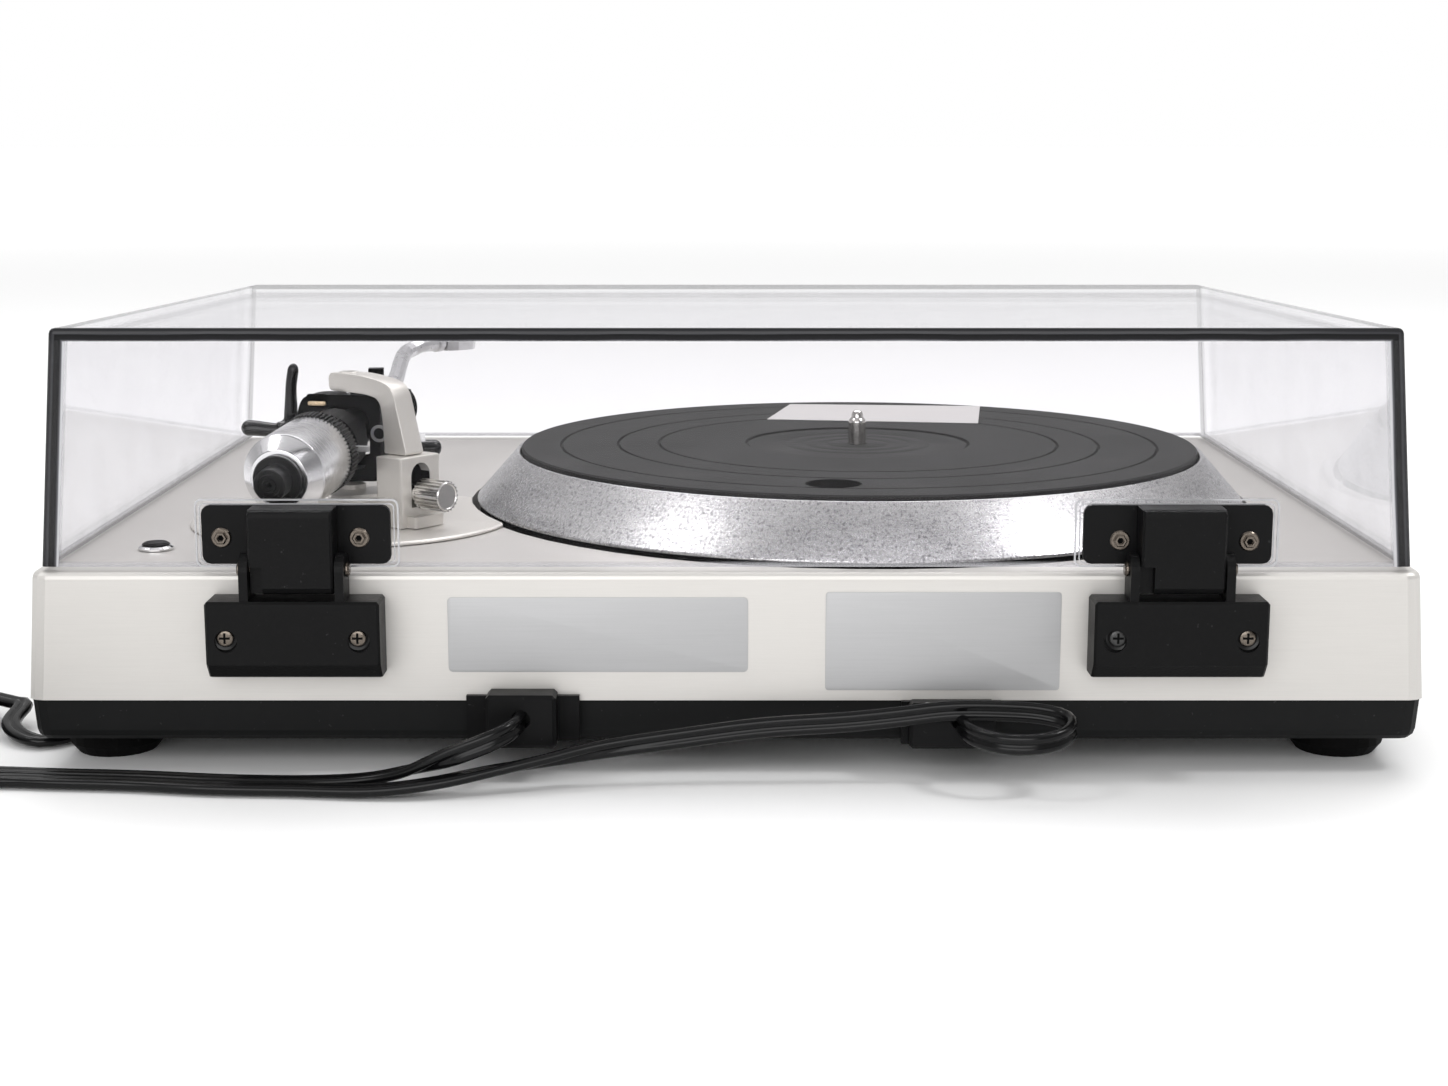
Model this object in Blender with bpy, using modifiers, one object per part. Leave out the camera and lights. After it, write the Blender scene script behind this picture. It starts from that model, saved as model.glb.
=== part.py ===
"""Automatic direct-drive turntable with its dust cover closed.

Metres, +Z up. The origin is at the bottom centre: the feet stand on Z = 0, the controls face -Y and the
hinges and cords are at +Y. "Depth" is measured forwards from the cabinet's rear face, "height" upwards
from the deck, and "reach" outwards from the tonearm's pivot.
"""

import math

import bmesh
import bpy
from mathutils import Matrix, Vector

# Cabinet, tray and feet
cabinet_width = 0.480
cabinet_depth = 0.375
cabinet_height = 0.0444
cabinet_wall = 0.0035
cabinet_taper = 0.0031
cabinet_corner = 0.006
cabinet_edge = 0.0022
deck_thickness = 0.003
tray_inset = 0.0016
tray_taper = 0.0013
tray_height = 0.0147
tray_wall = 0.0025
tray_edge = 0.004
foot_height = 0.011
foot_radius = 0.0166
foot_spread = 0.437
foot_setback = 0.034
foot_socket_depth = 0.0012
seam_gap = 0.0003
seat_gap = 0.0003
overrun = 0.004
edge_to_corner_share = 0.7
drum_turn = math.radians(2.3)

# Controls on the sloping front ledge
ledge_start = 0.3405
ledge_drop = 0.0125
ledge_fall = 0.008
button_depth = 0.012
button_stand = 0.0022
button_skirt = 0.006
button_gap = 0.0005
button_corner = 0.0016
button_edge = 0.0007
power_button_width = 0.016
small_button_width = 0.017
wide_button_width = 0.034
power_button_x = -0.205
start_button_x = 0.163
stop_button_x = 0.204
speed_33_button_x = -0.128
speed_45_button_x = -0.106
pitch_dial_x = -0.062
pitch_dial_radius = 0.0085
pitch_dial_height = 0.0065
pitch_stem_radius = 0.0025
pitch_stem_length = 0.007

# Dust cover
cover_bottom_width = 0.4663
cover_top_width = 0.4542
cover_bottom_gap = 0.0016
cover_rear_height = 0.0825
cover_front_height = 0.0748
cover_rear_depth = 0.0031
cover_front_depth = 0.3371
cover_lean = 0.002
cover_wall = 0.003
cover_edge = 0.0018
pad_width = 0.0690
pad_face_depth = 0.0004
pad_thickness = 0.0042
pad_bottom = 0.0021
pad_top = 0.0255
pad_corner = 0.0025

# Hinges
left_hinge_x = 0.1450
right_hinge_x = -0.1522
hinge_plate_width = 0.0636
hinge_plate_thickness = 0.002
hinge_plate_bottom = 0.0036
hinge_plate_top = 0.0236
hinge_plate_corner = 0.0028
hinge_block_width = 0.0584
hinge_block_top = -0.0070
hinge_block_bottom = -0.0338
hinge_block_bevel = 0.0052
hinge_block_corner = 0.0008
hinge_screw_spread = 0.0445
hinge_screw_height = -0.0204
hinge_recess_radius = 0.0038
hinge_recess_depth = 0.0015
ear_radius = 0.0056
ear_thickness = 0.003
ear_inner_gap = 0.0004
ear_setback = 0.0010
hinge_cover_width = 0.0282
hinge_cover_top = 0.0238
hinge_cover_reach = 0.0061
hinge_cover_drop = 0.0078
hinge_cover_corner = 0.0016
hinge_notch_width = 0.0045
hinge_notch_height = 0.0095
hinge_notch_depth = 0.0035
hinge_pin_radius = 0.0015
hinge_pin_gap = 0.0003
hinge_pin_height = 0.0030
hinge_pin_head = 0.0026
hinge_pin_head_length = 0.0011

# Platter, motor and spindle
platter_x = -0.0536
platter_setback = 0.1645
platter_radius = 0.1550
platter_top_radius = 0.1392
platter_lip = 0.0215
platter_base_height = 0.0020
platter_skirt = 0.0055
platter_wall = 0.0042
platter_web = 0.0040
well_gap = 0.0026
well_depth = 0.0100
well_floor = 0.0025
well_wall = 0.0030
mat_radius = 0.1368
platter_steps = 56
mat_height = 0.0221
mat_thickness = 0.0034
mat_groove_depth = 0.0007
mat_groove_width = 0.0011
label_radius = 0.0500
finger_hole_radius = 0.0103
finger_hole_x = 0.0149
finger_hole_y = 0.1097
spindle_radius = 0.00358
spindle_height = 0.0375
spindle_collar_radius = 0.008
spindle_collar_height = 0.0009
bore_gap = 0.0003
hub_radius = 0.0140
hub_bottom = -0.0058
bearing_flange_radius = 0.0170
bearing_flange_thickness = 0.0020
bearing_tube_radius = 0.0095
bearing_depth = 0.0360
bearing_floor = 0.0030
stator_inner_radius = 0.0185
stator_radius = 0.0345
stator_height = 0.0085
coil_count = 9
coil_radius = 0.0042
coil_height = 0.0022
magnet_inner_radius = 0.0365
magnet_radius = 0.0455
magnet_height = 0.0130

# Tonearm: its pivot, base, yoke and gimbal
pivot_x = 0.1435
pivot_setback = 0.104
pivot_height = 0.0350
arm_rest_angle = math.radians(9.2)
arm_rise = math.radians(5.1)
plateau_radius = 0.062
plateau_height = 0.0017
plateau_edge = 0.0006
yoke_angle = math.radians(143.1)
boss_radius = 0.0205
boss_height = 0.0108
lower_pivot_radius = 0.0052
lower_pivot_height = 0.0027
pedestal_inner = 0.0236
pedestal_outer = 0.0367
pedestal_width = 0.0206
pedestal_height = 0.0282
pedestal_corner = 0.0008
slot_width = 0.0100
slot_depth = 0.0048
slot_bottom = 0.0092
slot_top = 0.0258
step_reach = 0.0044
step_width = 0.0150
step_height = 0.0062
yoke_width = 0.0092
yoke_bar_bottom = 0.0503
yoke_bar_top = 0.0572
yoke_bar_end = -0.0066
yoke_bend = 0.0129
yoke_bend_drop = 0.0004
yoke_slope = 0.0204
yoke_slope_drop = 0.0014
yoke_shoulder = 0.0256
yoke_shoulder_drop = 0.0030
yoke_corner = 0.0282
yoke_corner_drop = 0.0066
yoke_inner_bend = 0.0190
yoke_inner_bend_drop = 0.0036
yoke_waist = 0.0222
yoke_waist_drop = 0.0086
yoke_foot_inner = 0.0250
yoke_foot_outer = 0.0348
yoke_crown = 0.0014
yoke_edge = 0.0010
pivot_pin_radius = 0.0014
pivot_pin_depth = 0.0022
pivot_screw_radius = 0.0036
pivot_screw_depth = 0.0009
gimbal_width = 0.0272
gimbal_height = 0.0284
gimbal_drop = 0.0043
gimbal_depth = 0.0120
gimbal_house_reach = 0.0056
gimbal_house_height = 0.0210
gimbal_wall = 0.0042
gimbal_corner = 0.0050
gimbal_edge = 0.0008
trunnion_radius = 0.0017
trunnion_gap = 0.0003
hub_tube_radius = 0.0074
hub_front = 0.0150
hub_rear = 0.0275
hub_drum_start = 0.0150
hub_drum_edge = 0.0010
arm_hub_collar_radius = 0.0120
shaft_radius = 0.0042
shaft_length = 0.0542

# Tonearm: tube and bare headshell
tube_radius = 0.0034
tube_start = 0.0153
tube_outset = 0.0268
elbow_reach = 0.1610
collar_reach = 0.1800
collar_outset = 0.0204
offset_angle = math.radians(16)
tube_level = math.radians(7.2)
collar_radius = 0.0038
collar_length = 0.0060
headshell_length = 0.0262
headshell_width = 0.0120
headshell_nose = 0.0080
headshell_thickness = 0.0020
headshell_flange = 0.0042
headshell_wall = 0.0012
headshell_slot_width = 0.0026
headshell_slot_length = 0.0070
headshell_slot_spread = 0.0066
lift_reach = 0.0085
lift_radius = 0.0009

# Counterweight
weight_radius = 0.0149
weight_front = 0.0445
weight_shoulder = 0.0730
weight_rear = 0.0785
weight_end_radius = 0.0104
weight_bore_gap = 0.0003
dial_radius = 0.0154
dial_front = 0.0372
dial_ribs = 32
dial_rib_height = 0.0005
sleeve_radius = 0.0062
sleeve_front = 0.0312
sleeve_cap_radius = 0.0067
sleeve_collar_radius = 0.0088
sleeve_collar_rear = 0.0838
sleeve_cap_front = 0.0788
sleeve_cap_rear = 0.0868
sleeve_hole_radius = 0.0016
weight_screw_pitch = 0.0060

# Tonearm: controls round the base
skate_dial_radius = 0.0076
skate_dial_thickness = 0.0026
skate_dial_reach = 0.0214
skate_dial_height = 0.0452
knob_radius = 0.0058
knob_start = 0.0382
knob_end = 0.0500
knob_height = 0.0142
knob_ribs = 24
knob_rib_height = 0.0004
knob_stem_radius = 0.0030
lift_house_x = 0.0268
lift_house_width = 0.0110
lift_house_y = 0.0190
lift_house_depth = 0.0300
lift_house_height = 0.0236
lift_house_corner = 0.0020
lift_house_edge = 0.0010
lift_arc_radius = 0.0280
lift_arc_start = math.radians(-45)
lift_arc_sweep = math.radians(107)
lift_arc_width = 0.0040
lift_arc_height = 0.0030
lift_post_radius = 0.0024
lift_post_length = 0.0140
lift_travel = 0.0018
lift_rest_gap = 0.0022
cue_pivot_y = 0.0260
cue_pivot_height = 0.0180
cue_hub_radius = 0.0045
cue_hub_length = 0.0034
cue_stem_radius = 0.0015
cue_blade_radius = 0.0026
cue_blade_inset = 0.0094
cue_blade_bend = 0.0108
cue_blade_top = 0.0378
lock_lever_y = 0.0095
lock_hub_radius = 0.0034
lock_hub_height = 0.0110
lock_lever_length = 0.0146
lock_lever_radius = 0.0026
rest_reach = 0.0950
rest_base_radius = 0.0090
rest_base_height = 0.0035
rest_post_radius = 0.0042
rest_floor_drop = 0.0060
rest_lip_drop = 0.0006
rest_prong_height = 0.0053
rest_side_gap = 0.0012
rest_cheek = 0.0020
rest_outer_cheek = 0.0062
rest_outset = 0.0124
rest_turn = math.radians(14)
rest_depth = 0.0056
rest_floor_thickness = 0.0026
socket_x = 0.2042
socket_setback = 0.0435
socket_radius = 0.0054
socket_height = 0.0016
socket_flange = 0.0009
socket_bore_radius = 0.0040
socket_bore_depth = 0.0100
socket_cap_radius = 0.0049
socket_cap_height = 0.0012

# Inside the cabinet
transformer_x = -0.165
transformer_setback = 0.300
transformer_width = 0.058
transformer_length = 0.044
transformer_height = 0.036
transformer_core = 0.016
transformer_flange = 0.0020
transformer_edge = 0.0030
board_x = 0.060
board_setback = 0.300
board_width = 0.200
board_length = 0.058
board_thickness = 0.0016
board_stand = 0.0060
board_part_height = 0.0090
board_post_radius = 0.0028

# Cord clamps and cords
clamp_x = 0.0695
clamp_width = 0.0238
clamp_plate_width = 0.0386
clamp_bottom = 0.0125
clamp_top = 0.0309
clamp_plate_top = 0.0282
clamp_plate_thickness = 0.0022
clamp_depth = 0.0120
clamp_exit_height = 0.0222
clip_x = -0.0770
clip_width = 0.0342
clip_exit_x = -0.0796
clip_depth = 0.0080
clip_bottom = 0.0112
clip_top = 0.0272
clip_plate_top = 0.0262
clip_exit_height = 0.0209
clamp_corner = 0.0012
clamp_body_drop = 0.0004
gland_radius = 0.0033
gland_depth = 0.0040
cord_radius = 0.0023
cord_clearance = 0.0003
coil_pitch = 0.0080
coil_layer = 0.0054
coil_points_per_turn = 24
phono_coil_centre = (0.3115, 0.1380)
phono_coil_radius = 0.0470
phono_coil_turns = 4.625
mains_coil_centre = (0.2960, 0.2680)
mains_coil_radius = 0.0505
mains_coil_turns = 5.125
plug_lead_length = 0.0160
plug_lead_radius = 0.0017
plug_pin_radius = 0.0020
plug_pin_length = 0.0170
plug_pin_spread = 0.0190
mains_plug_width = 0.0340
mains_plug_length = 0.0320
mains_plug_height = 0.0145
mains_plug_edge = 0.0030
phono_plug_radius = 0.0047
phono_plug_length = 0.0270
phono_plug_neck = 0.0025
phono_pin_radius = 0.0016
phono_pin_length = 0.0080

# Places worked out from the sizes above
hinge_pin_depth = -(hinge_plate_thickness + ear_radius + 2 * seat_gap)
hinge_block_depth = -hinge_pin_depth + ear_radius + ear_setback
overall_depth = cabinet_depth + hinge_block_depth
rear_y = overall_depth / 2 - hinge_block_depth
tray_top = foot_height + tray_height
cabinet_bottom = tray_top + seam_gap
deck_z = cabinet_bottom + cabinet_height
tray_floor_z = foot_height + tray_wall
well_radius = platter_radius + well_gap
ledge_length = cabinet_depth - ledge_start
ledge_slope = math.atan2(ledge_fall, ledge_length)

PARTS = None
CUTTERS = None


def at(x, depth, height):
    """A point given by its depth behind the rear face and its height over the deck."""
    return Vector((x, rear_y - depth, deck_z + height))


PIVOT = at(pivot_x, pivot_setback, pivot_height)
PLATTER = at(platter_x, platter_setback, 0)
SWING = Matrix.Translation(PIVOT) @ Matrix.Rotation(-arm_rest_angle, 4, "Z")
ARM = SWING @ Matrix.Rotation(-arm_rise, 4, "X")
YOKE = Matrix.Translation(at(pivot_x, pivot_setback, plateau_height + seat_gap)) @ Matrix.Rotation(
    yoke_angle, 4, "Z"
)


def clear_scene():
    """Removes what a new Blender file holds and makes the two collections."""
    global PARTS, CUTTERS
    for item in list(bpy.data.objects):
        bpy.data.objects.remove(item, do_unlink=True)
    PARTS = bpy.data.collections.new("turntable")
    CUTTERS = bpy.data.collections.new("cutters")
    bpy.context.scene.collection.children.link(PARTS)
    bpy.context.scene.collection.children.link(CUTTERS)


def finish(name, colour, roughness, metallic=0.0, alpha=1.0):
    """A plain Principled material."""
    material = bpy.data.materials.get(name) or bpy.data.materials.new(name)
    material.use_nodes = True
    shader = material.node_tree.nodes["Principled BSDF"]
    shader.inputs["Base Color"].default_value = (*colour, 1.0)
    shader.inputs["Roughness"].default_value = roughness
    shader.inputs["Metallic"].default_value = metallic
    shader.inputs["Alpha"].default_value = alpha
    return material


def silver_paint():
    return finish("silver_paint", (0.68, 0.66, 0.63), 0.38, 0.55)


def black_plastic():
    return finish("black_plastic", (0.022, 0.022, 0.024), 0.5)


def cast_aluminium():
    return finish("cast_aluminium", (0.62, 0.62, 0.63), 0.34, 1.0)


def bright_metal():
    return finish("bright_metal", (0.72, 0.71, 0.69), 0.2, 1.0)


def black_rubber():
    return finish("black_rubber", (0.017, 0.017, 0.018), 0.7)


def clear_acrylic():
    return finish("clear_acrylic", (0.86, 0.86, 0.9), 0.05, 0.0, 0.25)


def cord_vinyl():
    return finish("cord_vinyl", (0.014, 0.014, 0.015), 0.42)


def link(obj, material=None, place=None):
    """Puts a part in its collection, with its material and its place."""
    PARTS.objects.link(obj)
    if material:
        obj.data.materials.append(material)
    if place is not None:
        obj.matrix_world = place
    return obj


def as_cutter(obj):
    """Moves a shape to the cutters, which are only seen as wires."""
    PARTS.objects.unlink(obj)
    CUTTERS.objects.link(obj)
    obj.hide_render = True
    obj.display_type = "WIRE"
    return obj


def combine(obj, tool, operation="DIFFERENCE"):
    """Cuts the tool out of the part, or joins it on."""
    step = obj.modifiers.new(operation.title(), "BOOLEAN")
    step.operation = operation
    step.solver = "EXACT"
    step.object = as_cutter(tool)
    return obj


def soften(obj, width, segments=2, angle=40):
    """Rounds the sharp edges of a part."""
    step = obj.modifiers.new("Bevel", "BEVEL")
    step.width = width
    step.segments = segments
    step.limit_method = "ANGLE"
    step.angle_limit = math.radians(angle)
    return obj


def smooth(obj, angle=35):
    """Shades round faces smooth and keeps the sharp edges."""
    obj.data.shade_smooth()
    obj.data.set_sharp_from_angle(angle=math.radians(angle))
    return obj


def bevel_where(shape, test, width, segments):
    """Bevels the edges of a bmesh whose two ends pass a test."""
    edges = [edge for edge in shape.edges if test(*edge.verts)]
    if edges and width > 0:
        bmesh.ops.bevel(shape, geom=edges, offset=width, segments=segments, profile=0.5, affect="EDGES")


def block(name, size, material=None, place=None, corner=0, top=0, bottom=0, taper=0, segments=3):
    """A box standing on its own origin, with rounded uprights, top and bottom edges."""
    width, depth, height = size
    shape = bmesh.new()
    bmesh.ops.create_cube(shape, size=1)
    for vert in shape.verts:
        rise = vert.co.z + 0.5
        vert.co.x *= width - 2 * taper * rise
        vert.co.y *= depth
        vert.co.z = rise * height
    if corner:
        top = min(top, corner * edge_to_corner_share)
        bottom = min(bottom, corner * edge_to_corner_share)
    near = height * 1e-4
    bevel_where(shape, lambda a, b: abs(a.co.z - b.co.z) > near, corner, segments)
    bevel_where(shape, lambda a, b: min(a.co.z, b.co.z) > height - near, top, segments)
    bevel_where(shape, lambda a, b: max(a.co.z, b.co.z) < near, bottom, segments)
    mesh = bpy.data.meshes.new(name)
    shape.to_mesh(mesh)
    shape.free()
    return link(bpy.data.objects.new(name, mesh), material, place)


def lathe(name, profile, material=None, place=None, steps=48, ring=False):
    """Turns a profile of (radius, height) points, listed down the outer side, round the local Z axis."""
    mesh = bpy.data.meshes.new(name)
    verts = [(radius, 0, height) for radius, height in profile]
    edges = [(index, index + 1) for index in range(len(verts) - 1)]
    if ring:
        edges.append((len(verts) - 1, 0))
    mesh.from_pydata(verts, edges, [])
    obj = link(bpy.data.objects.new(name, mesh), material, place)
    screw = obj.modifiers.new("Screw", "SCREW")
    screw.axis = "Z"
    screw.steps = steps
    screw.render_steps = steps
    screw.use_merge_vertices = True
    screw.merge_threshold = 0.00001
    screw.use_smooth_shade = False
    return obj


def drum(name, radius, low, high, material=None, place=None, steps=32):
    """A plain cylinder between two heights, turned a little so its corners meet no edge of a lathed part."""
    shape = bmesh.new()
    bmesh.ops.create_cone(shape, cap_ends=True, segments=steps, radius1=radius, radius2=radius, depth=high - low)
    shape.transform(Matrix.Translation((0, 0, (high + low) / 2)) @ Matrix.Rotation(drum_turn, 4, "Z"))
    mesh = bpy.data.meshes.new(name)
    shape.to_mesh(mesh)
    shape.free()
    return link(bpy.data.objects.new(name, mesh), material, place)


def curve_object(name, points, cyclic=False):
    """A poly curve through points."""
    curve = bpy.data.curves.new(name, "CURVE")
    spline = curve.splines.new("POLY")
    spline.points.add(len(points) - 1)
    for target, point in zip(spline.points, points):
        target.co = (*point, 1)
    spline.use_cyclic_u = cyclic
    return bpy.data.objects.new(name, curve)


def to_mesh(obj):
    """Turns a curve object into a welded mesh object in the same place."""
    bpy.context.view_layer.update()
    graph = bpy.context.evaluated_depsgraph_get()
    mesh = bpy.data.meshes.new_from_object(obj.evaluated_get(graph))
    shape = bmesh.new()
    shape.from_mesh(mesh)
    bmesh.ops.remove_doubles(shape, verts=shape.verts, dist=0.00001)
    shape.to_mesh(mesh)
    shape.free()
    name = obj.name
    place = obj.matrix_world.copy()
    bpy.data.objects.remove(obj, do_unlink=True)
    solid = bpy.data.objects.new(name, mesh)
    PARTS.objects.link(solid)
    solid.matrix_world = place
    return solid


def plate(name, outline, thickness, material=None, place=None):
    """A flat outline in the local XY plane, thickened evenly about it."""
    obj = curve_object(name, [(x, y, 0) for x, y in outline], cyclic=True)
    obj.data.dimensions = "2D"
    obj.data.fill_mode = "BOTH"
    obj.data.extrude = thickness / 2
    PARTS.objects.link(obj)
    if place is not None:
        obj.matrix_world = place
    obj = to_mesh(obj)
    if material:
        obj.data.materials.append(material)
    return obj


def tube(name, points, radius, material=None, place=None, resolution=2):
    """A round tube with flat ends along points."""
    obj = curve_object(name, points)
    obj.data.dimensions = "3D"
    obj.data.bevel_depth = radius
    obj.data.bevel_resolution = resolution
    obj.data.use_fill_caps = True
    PARTS.objects.link(obj)
    if place is not None:
        obj.matrix_world = place
    obj = to_mesh(obj)
    if material:
        obj.data.materials.append(material)
    return obj


def arc(centre, radius, start, end, count):
    """Points along an arc in a plane."""
    turns = [start + (end - start) * step / count for step in range(count + 1)]
    return [(centre[0] + radius * math.cos(turn), centre[1] + radius * math.sin(turn)) for turn in turns]


def rounded_outline(width, height, radius, count=3):
    """A rectangle about the origin with round corners."""
    across = width / 2 - radius
    up = height / 2 - radius
    quarter = math.pi / 2
    centres = [(across, up), (-across, up), (-across, -up), (across, -up)]
    points = []
    for index, centre in enumerate(centres):
        points += arc(centre, radius, index * quarter, (index + 1) * quarter, count)
    return points


def ribbed_outline(radius, rib, count):
    """A circle with a low rib for each count."""
    points = []
    for index in range(count):
        turn = 2 * math.pi * index / count
        step = math.pi / count
        points.append((radius * math.cos(turn), radius * math.sin(turn)))
        points.append(((radius - rib) * math.cos(turn + step), (radius - rib) * math.sin(turn + step)))
    return points


def smooth_route(points, spacing):
    """Evenly spaced points on a smooth curve through a route's own points."""
    points = [Vector(point) for point in points]
    padded = [2 * points[0] - points[1], *points, 2 * points[-1] - points[-2]]
    fine = []
    for index in range(1, len(padded) - 2):
        before, here, there, after = padded[index - 1 : index + 3]
        for step in range(16):
            share = step / 16
            fine.append(
                0.5
                * (
                    2 * here
                    + (there - before) * share
                    + (2 * before - 5 * here + 4 * there - after) * share**2
                    + (3 * here - before - 3 * there + after) * share**3
                )
            )
    fine.append(points[-1])
    lengths = [0.0]
    for first, second in zip(fine, fine[1:]):
        lengths.append(lengths[-1] + (second - first).length)
    count = max(2, round(lengths[-1] / spacing))
    result = []
    index = 0
    for step in range(count + 1):
        goal = lengths[-1] * step / count
        while index < len(fine) - 2 and lengths[index + 1] < goal:
            index += 1
        span = lengths[index + 1] - lengths[index]
        share = (goal - lengths[index]) / span if span else 0
        result.append(fine[index].lerp(fine[index + 1], share))
    return result


def route_length(points):
    """The length of a line through points."""
    return sum((Vector(b) - Vector(a)).length for a, b in zip(points, points[1:]))


def upright(axis):
    """A rotation that turns the local Z axis to an axis."""
    return Vector((0, 0, 1)).rotation_difference(Vector(axis)).to_matrix().to_4x4()


def lying_along_y():
    """Turns the local Z axis towards the rear, and local Y down."""
    return Matrix.Rotation(-math.pi / 2, 4, "X")


def side_profile():
    """Turns the local XY plane to a plane seen from the side: X stays, Y becomes up."""
    return Matrix.Rotation(math.pi / 2, 4, "X")


def make_cabinet():
    """The die-cast cabinet: a shell with a deck, a platter well and a sloping control ledge."""
    half_depth = cabinet_depth / 2
    middle = Matrix.Translation((0, rear_y - half_depth, cabinet_bottom))
    cabinet = block(
        "cabinet",
        (cabinet_width, cabinet_depth, cabinet_height),
        silver_paint(),
        middle,
        corner=cabinet_corner,
        top=cabinet_edge,
        taper=cabinet_taper,
    )
    ledge = Matrix.Translation(at(0, ledge_start, -ledge_drop)) @ Matrix.Rotation(ledge_slope, 4, "X")
    length = ledge_length + overrun
    cut = block("ledge_cutter", (cabinet_width + overrun, 2 * length, cabinet_height))
    cut.matrix_world = ledge
    riser = block("riser_cutter", (cabinet_width + 2 * overrun, cabinet_depth, cabinet_height))
    riser.matrix_world = Matrix.Translation(at(0, ledge_start - half_depth, -ledge_drop - ledge_fall))
    combine(cut, riser)
    combine(cabinet, cut)
    inner_width = cabinet_width - 2 * (cabinet_wall + cabinet_taper)
    inner_top = cabinet_height - deck_thickness
    hollow = block("hollow_cutter", (inner_width, ledge_start - 2 * cabinet_wall, inner_top + overrun))
    hollow.matrix_world = Matrix.Translation(at(0, ledge_start / 2, -cabinet_height - overrun))
    combine(cabinet, hollow)
    front_height = cabinet_height - ledge_drop - ledge_fall - deck_thickness
    front_depth = cabinet_depth - ledge_start
    front = block("front_cutter", (inner_width, front_depth + cabinet_wall, front_height + overrun))
    front_middle = ledge_start + (front_depth - cabinet_wall) / 2 - cabinet_wall
    front.matrix_world = Matrix.Translation(at(0, front_middle, -cabinet_height - overrun))
    combine(cabinet, front)
    well_place = Matrix.Translation(PLATTER)
    pan = drum("well_pan", well_radius + well_wall, -well_depth - well_floor, -deck_thickness / 2, None, well_place, 56)
    combine(cabinet, pan, "UNION")
    combine(cabinet, drum("well_cutter", well_radius, -well_depth, overrun, None, well_place, 56))
    bearing_hole = bearing_tube_radius + bore_gap
    combine(cabinet, drum("bearing_hole", bearing_hole, -well_depth - overrun, 0, None, well_place, 20))
    socket = Matrix.Translation(at(socket_x, socket_setback, 0))
    combine(cabinet, drum("socket_hole", socket_radius, -deck_thickness - overrun, overrun, None, socket, 24))
    for x, width in BUTTONS.values():
        hole = (width + 2 * button_gap, button_depth + 2 * button_gap, 2 * deck_thickness + 3 * overrun)
        pocket = block("button_hole", hole, None, ledge_frame(x), corner=button_corner)
        pocket.matrix_world = ledge_frame(x) @ Matrix.Translation((0, 0, -2 * deck_thickness - 2 * overrun))
        combine(cabinet, pocket)
    stem_radius = pitch_stem_radius + bore_gap
    stem = drum("dial_hole", stem_radius, -4 * overrun, overrun, None, ledge_frame(pitch_dial_x), 16)
    combine(cabinet, stem)
    return cabinet


BUTTONS = {
    "power_button": (power_button_x, power_button_width),
    "speed_33_button": (speed_33_button_x, small_button_width),
    "speed_45_button": (speed_45_button_x, small_button_width),
    "start_button": (start_button_x, wide_button_width),
    "stop_button": (stop_button_x, wide_button_width),
}


def ledge_frame(x):
    """A frame on the middle of the sloping ledge, with Z square to it."""
    middle = (ledge_start + cabinet_depth) / 2
    place = Matrix.Translation(at(x, middle, -ledge_drop - ledge_fall / 2))
    return place @ Matrix.Rotation(ledge_slope, 4, "X")


def make_controls():
    """The push buttons and the pitch dial on the ledge."""
    for name, (x, width) in BUTTONS.items():
        place = ledge_frame(x) @ Matrix.Translation((0, 0, -button_skirt))
        size = (width, button_depth, button_skirt + button_stand)
        block(name, size, black_plastic(), place, corner=button_corner, top=button_edge)
    dial = plate(
        "pitch_dial",
        ribbed_outline(pitch_dial_radius, knob_rib_height, knob_ribs),
        pitch_dial_height,
        black_plastic(),
        ledge_frame(pitch_dial_x) @ Matrix.Translation((0, 0, pitch_dial_height / 2 + seat_gap)),
    )
    stem_top = seat_gap + pitch_dial_height / 2
    stem = drum("dial_stem", pitch_stem_radius, -pitch_stem_length, stem_top, None, ledge_frame(pitch_dial_x), 16)
    combine(dial, stem, "UNION")


def make_tray():
    """The black bottom tray, open on top, with the board's posts."""
    size = (cabinet_width - 2 * tray_inset, cabinet_depth - 2 * tray_inset, tray_height)
    middle = Matrix.Translation((0, rear_y - cabinet_depth / 2, foot_height))
    tray = block(
        "bottom_tray", size, black_plastic(), middle, corner=cabinet_corner, bottom=tray_edge, taper=-tray_taper
    )
    inner = block("tray_hollow", (size[0] - 4 * tray_wall, size[1] - 4 * tray_wall, tray_height))
    inner.matrix_world = middle @ Matrix.Translation((0, 0, tray_wall))
    combine(tray, inner)
    for x_side in (-1, 1):
        for y_side in (-1, 1):
            x = board_x + x_side * (board_width / 2 - 2 * board_post_radius)
            depth = board_setback + y_side * (board_length / 2 - 2 * board_post_radius)
            place = Matrix.Translation((x, rear_y - depth, tray_floor_z))
            combine(tray, drum("board_post", board_post_radius, -tray_wall / 2, board_stand, None, place, 12), "UNION")


def make_feet():
    """Four rubber feet under the tray."""
    profile = [
        (0, foot_height - seat_gap),
        (foot_radius, foot_height - seat_gap),
        (foot_radius, foot_height * 0.35),
        (foot_radius * 0.82, 0),
        (foot_radius * 0.5, 0),
        (foot_radius * 0.45, foot_socket_depth),
        (0, foot_socket_depth),
    ]
    depths = {"rear": foot_setback, "front": cabinet_depth - foot_setback}
    sides = {"left": foot_spread / 2, "right": -foot_spread / 2}
    for end, depth in depths.items():
        for side, x in sides.items():
            place = Matrix.Translation((x, rear_y - depth, 0))
            lathe(f"foot_{end}_{side}", profile, black_rubber(), place, 24)


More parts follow.
